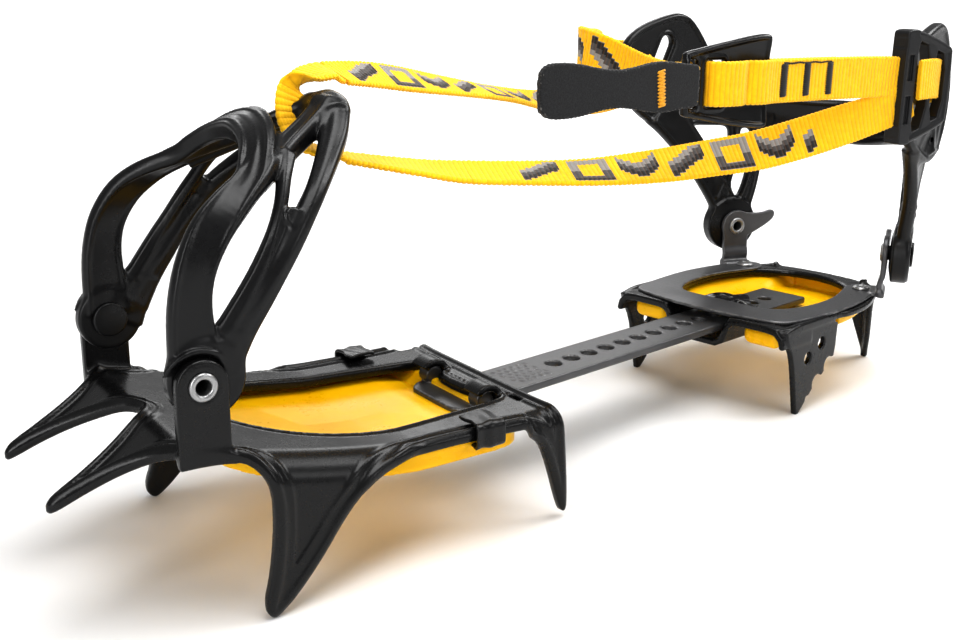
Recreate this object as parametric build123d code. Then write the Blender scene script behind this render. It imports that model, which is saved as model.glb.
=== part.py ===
from build123d import *
import math
import os

# Strap-on walking crampon for a left boot. Millimetres, +Z up.
# Working frame: X runs along the linking bar from toe (-X) to heel (+X), Z = 0 is the middle of the
# front frame's sheet, and the hinge loops of the bar are at X = 0. The front section is turned
# inward by TOE_YAW, as the foot is. At the end everything is moved so that the origin is the
# bottom centre of the whole object.

# ---- driving dimensions ----
TOE_YAW = -9.57                 # front section against the bar, degrees about Z
FRONT_SHIFT = 1.0               # front section's centre line beside the bar's, at the loops
SHEET = 3.0                     # forged front frame
TIP_Z = -33.5                   # level of the long points' tips
CORNER_TIP_Z = -30.5            # the points at the rear corners are shorter
TIP_HALF = 1.6                  # half length of the long points' flat tips
BEND_X = -36.0                  # ahead of this line the front frame rises
RISE = 10.4                     # degrees

POST_X, POST_Y, POST_Z = -95.2, 35.0, 28.2      # toe pivots, from the front section's centre line
POST_W, POST_T = 13.0, 3.0
RIVET_R, RIVET_BORE, RIVET_HEAD_R = 2.9, 1.9, 3.7
FIT = 0.05                      # radial running clearance
PRESS = 0.01                    # radial clearance of riveted pieces
SIDE_GAP = 0.3                  # between faces that turn on each other

SNOW_T = 1.6                    # wall of the snow plates
SNOW_DEPTH = 5.0                # front snow plate's floor below the sheet
TONGUE_DEPTH = 8.0              # and under the hinge
HEEL_SNOW_DEPTH = 7.2           # heel snow plate's floor below its sheet

BAR_W, BAR_T, BAR_TOP = 20.0, 2.6, -2.6
BAR_END = 184.0
HOLES, HOLE_X, HOLE_PITCH, HOLE_D = 15, 44.2, 8.98, 5.6
LOOP_Y, LOOP_W, LOOP_R, LOOP_T, LOOP_Z = 14.6, 8.0, 3.3, 2.2, -0.3
WING_Y = 15.6                   # half width of the bar's T-shaped end

HEEL_TOP, HEEL_T, COVER_T = 1.0, 2.2, 1.2
HEEL_FRONT, HEEL_REAR, HEEL_HALF = 126.0, 214.3, 40.0
SPIKE_Y = 38.0                  # outer face of the front heel points
CHANNEL_HALF, CHANNEL_FLOOR = 11.2, -9.0
CHANNEL_X = (123.5, 141.0)      # front and rear end of the bar's channel
LOBE_X, LOBE_Y, LOBE_R = 196.5, 27.5, 1.8       # rivets that hold the cover plate
EAR_X, EAR_Y, EAR_Z = 199.0, 36.0, 18.0         # heel pivots
EAR_TURN = 25.0                 # the ears stand at this angle to the bar
EAR_T, EAR_R, EAR_W = 2.0, 6.6, 11.6
ROCK = 10.0                     # the heel cage rocks this many degrees each way
TOE_BOSS_R = 8.8
BOSS_R = 11.6
CAGE_T = 4.6                    # toe cage at its pivots
HEEL_CAGE_T = 7.4
ARM_T = 4.0                     # arms, legs, wings and band of both cages
HEEL_GAP = 0.55                 # beside the heel cage's bosses, which rock on turned ears

STRAP_W, STRAP_T = 13.0, 1.5


# ---- helpers ----
def quad(points):
    return make_face(Polyline(*[Vector(*p) for p in points], close=True))


def skin(sections):
    "a solid through flat sections, straight from each to the next"
    return loft([quad(s) for s in sections], ruled=True)


def join(parts):
    whole = parts[0]
    for part in parts[1:]:
        whole = whole + part
    return whole


def slab(outline, z, height):
    "a flat outline raised from z by height"
    face = make_face(Polyline(*[(x, y) for x, y in outline], close=True))
    return Pos(0, 0, z) * extrude(face, height, dir=(0, 0, 1))


def both(outline):
    "a closed outline symmetric about X, from its half with y > 0"
    return outline + [(x, -y) for x, y in reversed(outline) if y > 0]


def upright(outline, thickness, direction=(0, -1, 0)):
    "an outline of (x, z) points, standing on edge and made thick along Y"
    face = make_face(Polyline(*[(x, 0, z) for x, z in outline], close=True))
    return extrude(face, thickness, dir=direction)


def pin(x, y, z, radius, length):
    "a cylinder along Y with its middle at y"
    return Pos(x, y, z) * Rot(90, 0, 0) * Cylinder(radius, length)


def mirror_y(shape):
    return mirror(shape, Plane.XZ)


def strip(points, width_dirs, width, thickness):
    "a ribbon through points; width_dirs gives the direction of its width at each point"
    sections = []
    for i, point in enumerate(points):
        before = Vector(*points[max(i - 1, 0)])
        after = Vector(*points[min(i + 1, len(points) - 1)])
        along = (after - before).normalized()
        across = Vector(*width_dirs[i])
        across = (across - along * across.dot(along)).normalized()
        normal = along.cross(across)
        here = Vector(*point)
        w, t = across * (width[i] / 2), normal * (thickness / 2)
        sections.append([tuple(here + w + t), tuple(here - w + t),
                         tuple(here - w - t), tuple(here + w - t)])
    return skin(sections)


def in_front(shape):
    "from the front section's own frame to the bar's"
    return Rot(0, 0, TOE_YAW) * Pos(0, FRONT_SHIFT, 0) * shape


def rise_z(x):
    return max(0.0, (BEND_X - x) * math.tan(math.radians(RISE)))


def on_rise(outline, z, height):
    "an outline in plan, put on the rising part of the front frame"
    flat = [((x - BEND_X) / math.cos(math.radians(RISE)), y) for x, y in outline]
    return Pos(BEND_X, 0, 0) * Rot(0, RISE, 0) * slab(flat, z, height)


# ---- front section, in its own frame ----
CLIP_X, CLIP_Y, CLIP_SIZE, CLIP_T = -15.0, 35.8, (10.0, 13.0, 7.4), 1.1
RAIL_REAR = [(12.0, 0), (12.0, 33.0), (9.0, 37.0), (-10.0, 39.6), (-24.0, 40.2), (BEND_X - 2, 40.6)]
OPENING_REAR = [(-1.8, 0), (-1.8, 9.6), (3.6, 9.6), (3.6, 19.6), (-1.5, 19.6), (-4.0, 22.6),
                (BEND_X - 2, 22.6)]
RAIL_FRONT = [(BEND_X + 2, 40.6), (-80.0, 41.0), (-88.0, 38.2), (-101.0, 36.0), (-104.0, 24.0),
              (-106.0, 22.5), (-106.0, 11.5), (-97.0, 3.0), (-96.0, 0)]
OPENING_FRONT = [(BEND_X + 2, 22.6), (-56.0, 22.6), (-66.0, 21.0), (-76.0, 16.0), (-82.0, 9.0), (-83.0, 0)]
FRONT_POINT = [(-104.0, 17.0, 11.6, 12.0), (-110.0, 18.2, 8.0, 11.6), (-116.0, 19.2, 4.8, 9.6),
               (-122.0, 19.7, 1.8, 7.0), (-127.5, 19.7, -1.0, 3.2)]


def rear_sheet():
    sheet = slab(both(RAIL_REAR), -SHEET / 2, SHEET)
    return sheet - slab(both(OPENING_REAR), -SHEET, 2 * SHEET)


def front_sheet():
    sheet = on_rise(both(RAIL_FRONT), -SHEET / 2, SHEET)
    return sheet - on_rise(both(OPENING_FRONT), -SHEET, 2 * SHEET)


def front_point():
    sections = []
    for x, y, z, w in FRONT_POINT:
        t = SHEET / 2
        left, right = y - w / 2, y + w / 2
        sections.append([(x, left, z - t), (x, right, z - t), (x, right, z + t), (x, left, z + t)])
    return skin(sections)


def down_point(root_front, root_rear, tip_x, top, y_root, y_tip, tip_z=TIP_Z):
    "a point bent down from the rail; its tip is a narrow flat"
    def section(a, b, y, z):
        return [(a, y - SHEET, z), (b, y - SHEET, z), (b, y, z), (a, y, z)]
    return skin([section(root_front, root_rear, y_root, top),
                 section(tip_x - TIP_HALF, tip_x + TIP_HALF, y_tip, tip_z)])


def post():
    base = rise_z(POST_X) - SHEET / 2
    middle = POST_Y + POST_T / 2
    face = Pos(POST_X, middle, (base + POST_Z) / 2) * Box(POST_W, POST_T, POST_Z - base)
    blade = face + pin(POST_X, middle, POST_Z, POST_W / 2, POST_T)
    return blade - pin(POST_X, middle, POST_Z, RIVET_R + PRESS, 2 * POST_T)


def loop():
    "the rolled loop that holds one wing of the bar; it is open towards the toe and below"
    ring = pin(0, LOOP_Y, LOOP_Z, LOOP_R + LOOP_T, LOOP_W) - pin(0, LOOP_Y, LOOP_Z, LOOP_R, 2 * LOOP_W)
    lower = Pos(0, LOOP_Y, LOOP_Z - 10.4) * Box(30, 2 * LOOP_W, 20)
    return ring - lower - Pos(-10.0, LOOP_Y, 0) * Box(14.2, 2 * LOOP_W, 5.0)


def front_frame():
    half = [front_point(), down_point(-80.0, -42.0, -82.4, rise_z(-62.0), 41.0, 42.4),
            down_point(2.0, 11.8, 14.2, 1.0, 38.4, 36.6, CORNER_TIP_Z), post(), loop()]
    both_halves = half + [mirror_y(part) for part in half]
    frame = join([rear_sheet(), front_sheet()] + both_halves)
    for side in (1, -1):
        frame = frame - Pos(6.6, side * 22.8, 0) * Box(2.2, 6.0, 10)
    return in_front(frame)


def front_snow_plate():
    "snow plate under the front frame, lower under the hinge"
    floor_z, tongue_z = -SHEET / 2 - SNOW_DEPTH, -SHEET / 2 - TONGUE_DEPTH
    rear = slab(both([(-8.5, 0), (-8.5, 36.0), (BEND_X - 0.5, 36.5)]), floor_z, SNOW_T)
    rim = slab([(-8.5, 26.0), (-8.5, 37.0), (BEND_X, 37.0), (BEND_X, 26.0)], floor_z, SNOW_DEPTH)
    tongue = slab(both([(2.0, 0), (2.0, 34.0), (-9.5, 34.0)]), tongue_z, SNOW_T)
    step = slab(both([(-8.5, 0), (-8.5, 34.0),
                      (-8.5 - SNOW_T, 34.0)]), tongue_z, TONGUE_DEPTH - SNOW_DEPTH + SNOW_T)
    rise = on_rise(both([(BEND_X + 0.5, 36.5), (-74.0, 36.0), (-88.0, 24.0), (-90.0, 0)]), floor_z, SNOW_T)
    front_rim = on_rise([(BEND_X, 26.0), (BEND_X, 37.0), (-72.0, 36.0), (-72.0, 26.0)], floor_z, SNOW_DEPTH)
    plate = join([rear, rim, mirror_y(rim), tongue, step, rise, front_rim, mirror_y(front_rim)])
    over_rise = on_rise(both([(BEND_X + 3, 42.0), (-95.0, 42.0)]), -SHEET / 2, 6)
    over_rear = slab(both([(BEND_X - 3, 42.0), (12.0, 42.0)]), -SHEET / 2, 6)
    plate = in_front(plate - over_rise - over_rear)
    return plate - snow_plate_clip(1) - snow_plate_clip(-1)


def snow_plate_clip(side):
    "bent sheet that wraps the rail and holds the snow plate; it is open towards the middle"
    length, width, height = CLIP_SIZE
    outer = Box(length, width, height)
    inner = Box(2 * length, width - 2 * CLIP_T, height - 2 * CLIP_T)
    mouth = Pos(0, -10.8, 0) * Box(30, 12.0, 30)
    clip = Pos(CLIP_X, CLIP_Y, -1.0) * (outer - inner - mouth)
    return in_front(clip if side > 0 else mirror_y(clip))


def hollow_rivet(outer_y, inner_y):
    "tubular rivet along Y from outer_y to inner_y, with a rolled head at the outer end"
    out = 1 if outer_y > inner_y else -1
    middle, length = (outer_y + inner_y) / 2, abs(outer_y - inner_y)
    shank = pin(0, middle, 0, RIVET_R, length)
    head = pin(0, outer_y + out * 0.4, 0, RIVET_HEAD_R, 0.8)
    button = pin(0, inner_y - out * 0.6, 0, RIVET_HEAD_R + 1.2, 1.2)
    return shank + head + button - pin(0, middle + out * 2.0, 0, RIVET_BORE, length + 2.0)


def toe_rivet(side):
    inner = POST_Y - SIDE_GAP - CAGE_T - SIDE_GAP
    return in_front(Pos(POST_X, 0, POST_Z) * hollow_rivet(side * (POST_Y + POST_T), side * inner))


# ---- toe cage, in the front section's frame ----
CAGE_MID = POST_Y - SIDE_GAP - CAGE_T / 2
FRONT_ARM = [(-95.5, CAGE_MID, 34.0), (-95.0, 32.6, 48.0), (-91.0, 30.0, 60.0), (-83.5, 25.6, 69.0),
             (-73.5, 15.0, 76.5), (-66.0, 5.0, 80.5), (-64.0, 0, 81.2)]
FRONT_ARM_W = [12.0, 9.6, 9.2, 9.0, 9.0, 10.0, 10.0]
REAR_ARM = [(-89.5, CAGE_MID, 34.0), (-82.0, 32.6, 46.0), (-75.0, 32.0, 58.0), (-66.5, 28.0, 69.0),
            (-56.0, 18.0, 79.0), (-46.0, 6.0, 86.4), (-43.5, 0, 87.2)]
REAR_ARM_W = [12.0, 10.0, 11.0, 11.5, 11.0, 9.0, 8.0]
SIDEWAYS, ALONG = (0, 1, 0), (1, 0, 0.35)


def toe_cage():
    boss = pin(POST_X, CAGE_MID, POST_Z, TOE_BOSS_R, CAGE_T)
    front_dirs = [ALONG, ALONG, (1, 0.15, 0.6), (1, 0.3, 0.9), (1, 0.25, 0.75), (1, 0.1, 0.5), (1, 0, 0.45)]
    rear_dirs = [ALONG, ALONG, (1, 0.1, 0.4), (1, 0.25, 0.6), (1, 0.3, 0.6), (1, 0.1, 0.45), (1, 0, 0.4)]
    front_arm = strip(FRONT_ARM, front_dirs, FRONT_ARM_W, ARM_T)
    rear_arm = strip(REAR_ARM, rear_dirs, REAR_ARM_W, ARM_T)
    bridge = strip([(-66.0, 9.0, 79.5), (-45.5, 7.0, 86.0)], [SIDEWAYS, SIDEWAYS], [5.0, 5.0], 5.0)
    half = [boss, front_arm, rear_arm, bridge]
    cage = join(half + [mirror_y(part) for part in half])
    for side in (1, -1):
        cage = cage - pin(POST_X, side * CAGE_MID, POST_Z, RIVET_R + FIT, 4 * CAGE_T)
    return in_front(cage)


# ---- linking bar ----
def linking_bar():
    strap = Pos((BAR_END - 2) / 2, 0, BAR_TOP - BAR_T / 2) * Box(BAR_END + 2, BAR_W, BAR_T)
    wings = slab(both([(4.2, 0), (4.2, WING_Y), (-4.0, WING_Y), (-8.2, 11.5), (-8.2, 0)]),
                 BAR_TOP - BAR_T, BAR_T)
    throat = slab(both([(4.0, 0), (4.0, 13.0), (14.0, 10.0)]), BAR_TOP - BAR_T, BAR_T)
    knuckle = pin(0, LOOP_Y - 0.6, LOOP_Z, LOOP_R - SIDE_GAP, LOOP_W - 3.0)
    head = join([wings, throat, knuckle, mirror_y(knuckle)])
    bar = strap + in_front(head)
    for i in range(HOLES):
        bar = bar - Pos(HOLE_X + i * HOLE_PITCH, 0, BAR_TOP) * Cylinder(HOLE_D / 2, 4 * BAR_T)
    return bar


# ---- heel section ----
SPIKE_HOLES, SPIKE_HOLE_R = ((141.0, -12.6), (149.9, -8.5)), 2.3


def heel_spike(side):
    "front heel point with two holes and a serrated rear edge"
    top = [(128.0, HEEL_TOP), (160.5, HEEL_TOP)]
    notches = [(160.5, -12.2), (160.2, -15.6), (157.2, -15.6), (153.0, -16.0), (152.4, -18.7), (153.0, -21.5),
               (149.0, -20.4), (145.6, -21.8), (146.6, -25.4)]
    tip = [(138.4, TIP_Z), (135.6, TIP_Z), (133.4, -22.5), (128.6, -4.5)]
    blade = upright(top + notches + tip, HEEL_T, (0, 1, 0))
    for x, z in SPIKE_HOLES:
        blade = blade - pin(x, 0, z, SPIKE_HOLE_R, 4 * HEEL_T)
    blade = Pos(0, SPIKE_Y - HEEL_T, 0) * blade
    return blade if side > 0 else mirror_y(blade)


def heel_rear_point(side):
    "rear heel point, bent down across the rear corner"
    inward = Vector(-0.75, -0.66, 0) * HEEL_T

    def section(a, b, z):
        front, back = Vector(*a, z), Vector(*b, z)
        return [tuple(front), tuple(back), tuple(back + inward), tuple(front + inward)]
    point = skin([section((203.0, 29.6), (211.4, 20.0), HEEL_TOP - HEEL_T / 2),
                  section((219.8, 20.6), (221.6, 18.4), TIP_Z)])
    return point if side > 0 else mirror_y(point)


HEEL_OUTLINE = [(HEEL_FRONT, 0), (HEEL_FRONT, 35.6), (129.0, SPIKE_Y), (163.0, SPIKE_Y), (166.0, HEEL_HALF),
                (186.0, 37.4), (201.0, 32.4), (208.5, 26.0), (212.6, 18.0), (214.0, 8.0), (HEEL_REAR, 0)]
HEEL_OPENING = [(141.0, 0), (141.0, 19.0), (147.0, 24.6), (166.0, 26.6), (184.0, 22.8), (198.0, 17.0),
                (205.5, 9.0), (207.5, 0)]


def heel_frame():
    plate = slab(both(HEEL_OUTLINE), HEEL_TOP - HEEL_T, HEEL_T) - slab(both(HEEL_OPENING), -10, 20)
    for side in (1, -1):
        plate = plate - Pos(LOBE_X, side * LOBE_Y, 0) * Cylinder(LOBE_R + PRESS, 10)
    gap = Pos(135.0, 0, HEEL_TOP - HEEL_T / 2) * Box(40, 2 * CHANNEL_HALF, HEEL_T + 1)
    floor_z = CHANNEL_FLOOR - HEEL_T
    front, rear = CHANNEL_X
    floor = slab(both([(front, 0), (front, CHANNEL_HALF), (rear, CHANNEL_HALF)]), floor_z, HEEL_T)
    side_wall = Pos((front + rear) / 2, CHANNEL_HALF + HEEL_T / 2, (HEEL_TOP + floor_z) / 2) * Box(
        rear - front, HEEL_T, HEEL_TOP - floor_z)
    return join([plate - gap, floor, side_wall, mirror_y(side_wall), heel_spike(1), heel_spike(-1),
                 heel_rear_point(1), heel_rear_point(-1)])


def turned(side, shape):
    "place a shape made at the origin, with its outward face towards +Y, on one heel pivot"
    shape = shape if side > 0 else mirror_y(shape)
    return Pos(EAR_X, side * EAR_Y, EAR_Z) * Rot(0, 0, -side * EAR_TURN) * shape


def ear(side):
    height = EAR_Z - HEEL_TOP - 2.0
    blade = Pos(0, -EAR_T / 2, -height / 2) * Box(EAR_W, EAR_T, height)
    eye = pin(0, -EAR_T / 2, 0, EAR_R, EAR_T)
    tab = upright([(0, 6.4), (13.0, 5.2), (17.0, 6.4), (18.4, 3.6), (17.0, 1.8), (8.0, -3.6),
                   (0, -5.0)], EAR_T)
    return turned(side, blade + eye + tab - pin(0, 0, 0, RIVET_R + PRESS, 4 * EAR_T))


def heel_cover():
    "U-shaped cover plate, open towards the rear, with an ear bent up on each arm"
    outline = [(124.6, 0), (126.4, 20.0), (129.0, 33.0), (133.0, 35.6), (150.0, 37.4), (166.0, 38.4),
               (180.0, 37.0),
               (196.0, 33.6), (202.0, 31.6), (204.6, 27.0), (202.0, 22.0), (196.0, 20.4), (188.0, 23.6),
               (166.0, 28.0), (150.0, 26.8), (142.0, 22.4), (140.4, 18.0), (140.4, 0)]
    plate = slab(both(outline), HEEL_TOP, COVER_T)
    for side in (1, -1):
        plate = plate - Pos(LOBE_X, side * LOBE_Y, 0) * Cylinder(LOBE_R + PRESS, 10)
        foot = Pos(0, -EAR_T / 2 - 1.6, HEEL_TOP - EAR_Z + 1.2) * Box(EAR_W, EAR_T + 3.2, 2.4)
        plate = plate + ear(side) + turned(side, foot)
    return plate


def lobe_rivets():
    "two domed rivets through the cover plate and the heel frame"
    rivets = []
    for side in (1, -1):
        shank = Pos(0, 0, HEEL_TOP + (COVER_T - HEEL_T) / 2) * Cylinder(LOBE_R, HEEL_T + COVER_T)
        head = Pos(0, 0, HEEL_TOP + COVER_T + 0.6) * Cone(3.4, 2.2, 1.2)
        foot = Pos(0, 0, HEEL_TOP - HEEL_T - 0.5) * Cylinder(2.8, 1.0)
        rivets.append(Pos(LOBE_X, side * LOBE_Y, 0) * (shank + head + foot))
    return Compound(children=rivets)


def heel_rivet(side):
    length = EAR_T + HEEL_GAP + HEEL_CAGE_T + HEEL_GAP
    rivet = hollow_rivet(length, 0)
    return turned(side, Pos(0, -EAR_T, 0) * mirror_y(Pos(0, -length, 0) * rivet))


def heel_snow_plate():
    "snow plate under the heel frame"
    outline = [(143.5, 0), (143.5, 34.0), (166.0, 37.5), (186.0, 34.6), (200.0, 26.0), (209.0, 18.0),
               (213.0, 11.0), (213.4, 0)]
    inner = [(145.1, 0), (145.1, 32.0), (166.0, 35.5), (185.4, 32.6), (199.0, 24.2), (207.4, 16.8),
             (211.5, 11.2), (211.7, 0)]
    top = HEEL_TOP - HEEL_T
    floor = slab(both(outline), top - HEEL_SNOW_DEPTH, SNOW_T)
    rim = slab(both(outline), top - HEEL_SNOW_DEPTH, HEEL_SNOW_DEPTH) - slab(both(inner), -20, 40)
    plate = floor + rim
    for side in (1, -1):
        belly = Pos(136.5, side * 25.4, top - 3.6) * fillet(Box(18.0, 15.2, 7.0).edges(), 3.0)
        spike = Pos(146, side * (SPIKE_Y - HEEL_T + 1.5), -12) * Box(36, 6.0, 30)
        rear_point = Pos(210.5, side * 26.0, -10) * Box(16, 14, 30)
        rivet_foot = Pos(LOBE_X, side * LOBE_Y, top) * Cylinder(3.3, 4.0)
        plate = plate + belly - spike - rear_point - rivet_foot
    front = Pos(144.3, 0, 0) * Box(6, 2 * CHANNEL_HALF + 6, 18)
    bar_way = Pos(205.5, 0, BAR_TOP - BAR_T / 2) * Box(12, BAR_W + 2, BAR_T + 2)
    return plate - front - bar_way


LATCH_X, LATCH_Z = 134.6, -0.8
SPINDLE_R, LATCH_EYE_R = 0.7, 1.45
LATCHED_HOLE = 12               # the hole that the nose is in, counted from 0


def latch_lever():
    "stamped lever that hooks round its spindle; its nose is the stop in the bar's holes"
    pad = slab([(142.4, -13.0), (153.0, -11.0), (158.0, -5.0), (158.0, 5.0), (153.0, 11.0),
                (142.4, 13.0)], -0.6, 1.4)
    nose = Pos(HOLE_X + LATCHED_HOLE * HOLE_PITCH, 0, -1.4) * Cylinder(2.2, 2.0)
    arm = slab([(LATCH_X, -8.0), (143.4, -8.0), (143.4, 8.0), (LATCH_X, 8.0)], LATCH_Z - 0.4, 1.0)
    eye = pin(LATCH_X, 0, LATCH_Z, LATCH_EYE_R, 16.0)
    return pad + nose + (arm + eye - pin(LATCH_X, 0, LATCH_Z, SPINDLE_R + FIT, 30.0))


def latch_pin():
    "spindle of the latch, held between the channel's side walls"
    return pin(LATCH_X, 0, LATCH_Z, SPINDLE_R, 2 * CHANNEL_HALF)


# ---- heel cage ----
def cage_boss():
    "round boss, coned towards the ear so that the cage can rock"
    relief = BOSS_R * math.sin(math.radians(EAR_TURN)) * math.sin(math.radians(ROCK)) + 0.2
    cone = Pos(0, HEEL_GAP + relief / 2, 0) * Rot(90, 0, 0) * Cone(BOSS_R, RIVET_HEAD_R + 1.0, relief)
    disc_t = HEEL_CAGE_T - relief
    disc = pin(0, HEEL_GAP + relief + disc_t / 2, 0, BOSS_R, disc_t)
    return turned(1, cone + disc)


FORE_LEG = [(201.0, 40.4, 20.0), (195.0, 44.0, 32.0), (187.0, 48.6, 46.0), (177.0, 53.6, 60.0),
            (170.0, 56.6, 68.0)]
WING = [(151.0, 72.0), (145.0, 84.0), (147.0, 95.0), (156.0, 101.6), (176.0, 107.0), (184.0, 104.0),
        (198.0, 86.0),
        (196.0, 70.0), (184.0, 58.0), (166.0, 62.0)]
WING_AT, WING_TURN = (176.0, 56.4), -10.0
SLOT = (167.0, 87.0)
AFT_LEG = [(205.0, 38.6, 20.0), (208.0, 37.2, 34.0), (210.0, 36.2, 48.0), (211.0, 35.4, 62.0)]
BAND = [(184.0, 54.8, 70.0), (199.0, 46.6, 68.0), (212.0, 34.6, 66.0), (222.0, 22.0, 64.4),
        (228.5, 10.0, 63.4),
        (230.5, 0, 63.0)]


def wing():
    "the blade beside the ankle that carries the strap"
    blade = Pos(0, ARM_T / 2, 0) * upright([(x - WING_AT[0], z) for x, z in WING], ARM_T)
    slot = Pos(SLOT[0] - WING_AT[0], 0, SLOT[1]) * Rot(0, 25, 0) * Box(6.4, 20, 22.0)
    return Pos(WING_AT[0], WING_AT[1], 0) * Rot(0, 0, WING_TURN) * (blade - slot)


def heel_cage():
    leg_dir = (math.cos(math.radians(EAR_TURN)), -math.sin(math.radians(EAR_TURN)), 0)
    half = [
        wing(),
        strip(FORE_LEG, [leg_dir] * 3 + [(1, -0.2, 0)] * 2, [13.0, 12.0, 12.0, 15.0, 18.0], ARM_T),
        strip(AFT_LEG, [leg_dir] * 4, [8.0, 6.0, 6.0, 9.0], ARM_T),
        strip(BAND, [(0, 0, 1)] * 6, [18.0, 16.0, 15.0, 15.0, 17.0, 19.0], ARM_T)]
    bore = turned(1, pin(0, 0, 0, RIVET_R + 0.9, 6 * HEEL_CAGE_T))
    right = join(half) + cage_boss() - bore
    return right + mirror_y(right)


# ---- strap, buckle, tab and slider ----
UPRIGHT = (0, 0, 1)


def strap_toe_loop():
    "webbing round the toe cage's bridge"
    path = [(-40.0, 1.0, 73.8), (-47.5, 1.6, 75.4), (-52.0, 2.2, 79.0), (-53.2, 3.4, 84.2),
            (-51.4, 5.4, 90.2),
            (-46.0, 9.0, 93.4), (-35.6, 12.0, 95.0)]
    dirs = [(0, 1, 0.1), (0.3, 1, 0.2), (1, 0.3, 0.3), (1, -0.1, 0.3), (1, -0.2, 0.3), (0.5, 1, 0),
            (0, 1, 0.2)]
    loop_strip = in_front(strip(path, dirs, [11.0, 10.0, 9.0, 9.0, 9.0, 11.0, STRAP_W], STRAP_T))
    return max((loop_strip - toe_cage()).solids(), key=lambda solid: solid.volume)


def outer_strand():
    "long webbing from the toe cage to the slider on the outer wing"
    path = [(-36.0, 8.0, 72.6), (-6.0, -7.3, 67.4), (32.0, -25.7, 65.8), (65.0, -40.3, 68.1),
            (96.7, -53.8, 72.7),
            (121.0, -63.6, 78.6)]
    dirs = [(0.1, 1, 0.1), (0, 1, 0.3), (0, 1, 0.45), (0, 1, 0.9), (0, 0.4, 1), UPRIGHT]
    return strip(path, dirs, [STRAP_W] * 6, STRAP_T)


def inner_strand():
    "long webbing from the toe cage to the inner wing's slot"
    path = [(-30.0, 19.0, 94.4), (-2.5, 22.9, 91.4), (48.0, 31.0, 84.0), (100.0, 46.0, 76.6),
            (140.0, 52.6, 79.0),
            (151.0, 54.6, 82.0)]
    dirs = [(0, 1, 0.4), (0, 1, 0.6), (0, 1, 0.3), (0, 1, 0.8), (0, 0.2, 1), UPRIGHT]
    return strip(path, dirs, [STRAP_W] * 6, STRAP_T)


def ankle_strap():
    "webbing from the inner wing forward round the instep and back to the buckle"
    path = [(160.0, 66.2, 89.6), (143.0, 66.6, 91.0), (114.0, 44.6, 95.6), (86.0, 25.0, 97.6),
            (70.0, 14.5, 98.6),
            (63.0, 8.0, 98.0), (60.0, 0.0, 96.0), (56.0, -14.0, 92.4), (51.0, -30.0, 91.0),
            (47.6, -40.0, 91.4)]
    return strip(path, [UPRIGHT] * len(path), [STRAP_W] * len(path), STRAP_T)


BUCKLE = (59.5, -50.2, 92.0)
BUCKLE_TURN = -13.0             # the buckle's long axis in plan, against +X
BUCKLE_L, BUCKLE_H, BUCKLE_T = 32.0, 26.0, 2.0
TAB_T = 2.4


def at_buckle(shape):
    return Pos(*BUCKLE) * Rot(0, 0, BUCKLE_TURN) * shape


def buckle():
    "pressed metal frame with windows for the webbing"
    plate = Box(BUCKLE_L, BUCKLE_T, BUCKLE_H)
    for x, length in ((-10.0, 8.6), (2.2, 8.6), (11.9, 4.4)):
        plate = plate - Pos(x, 0, 0) * Box(length, 3 * BUCKLE_T, STRAP_W + 1.6)
    return at_buckle(plate)


def pull_tab():
    "leather pull tab sewn to a short webbing loop"
    outline = [(-17.6, 6.6), (-30.0, 7.2), (-42.0, 5.2), (-58.0, 7.0), (-65.0, 4.6), (-67.0, 0)]
    return at_buckle(Pos(0, -1.4 - BUCKLE_T / 2, 0) * upright(both(outline), TAB_T))


def buckle_strap():
    "webbing from the buckle back to the slider on the outer wing"
    return at_buckle(Pos(42.6, 0.4, 0) * Box(50.0, 2 * STRAP_T, STRAP_W))


SLIDER = (142.5, -69.0, 88.0)
SLIDER_TURN = -10.0
SLIDER_T = 5.0


def slider():
    "moulded ladder slider on the outer wing"
    outline = [(-12.5, 18.0), (-7.0, 18.4), (12.5, 12.4), (12.5, -12.4), (-7.0, -18.4), (-12.5, -18.0)]
    body = Pos(0, SLIDER_T / 2, 0) * upright(outline, SLIDER_T)
    for x, height in ((-3.0, 26.0), (6.2, 20.0)):
        body = body - Pos(x, 0, 0) * Box(6.4, 2 * SLIDER_T, height)
    return Pos(*SLIDER) * Rot(0, 0, SLIDER_TURN) * body


NODES = {
    "front_frame": front_frame,
    "front_snow_plate": front_snow_plate,
    "snow_plate_clip_inner": lambda: snow_plate_clip(1),
    "snow_plate_clip_outer": lambda: snow_plate_clip(-1),
    "toe_rivet_inner": lambda: toe_rivet(1),
    "toe_rivet_outer": lambda: toe_rivet(-1),
    "toe_cage": toe_cage,
    "linking_bar": linking_bar,
    "heel_frame": heel_frame,
    "heel_cover_plate": heel_cover,
    "cover_plate_rivets": lobe_rivets,
    "heel_rivet_inner": lambda: heel_rivet(1),
    "heel_rivet_outer": lambda: heel_rivet(-1),
    "heel_snow_plate": heel_snow_plate,
    "latch_lever": latch_lever,
    "latch_spindle": latch_pin,
    "heel_cage": heel_cage,
    "strap_toe_loop": strap_toe_loop,
    "strap_outer_strand": outer_strand,
    "strap_inner_strand": inner_strand,
    "ankle_strap": ankle_strap,
    "strap_buckle": buckle,
    "pull_tab": pull_tab,
    "buckle_strap": buckle_strap,
    "strap_slider": slider,
}


def main():
    os.makedirs("parts", exist_ok=True)
    shapes = {name: make() for name, make in NODES.items()}
    box = Compound(children=[Compound(shape.solids()) for shape in shapes.values()]).bounding_box()
    home = Pos(-(box.min.X + box.max.X) / 2, -(box.min.Y + box.max.Y) / 2, -box.min.Z)
    print("working frame moved by", home.position)
    for name, shape in shapes.items():
        export_step(home * shape, "parts/" + name + ".step")


main()
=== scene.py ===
import math
import bmesh
import bpy
import numpy as np
from mathutils import Matrix, Vector


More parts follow.
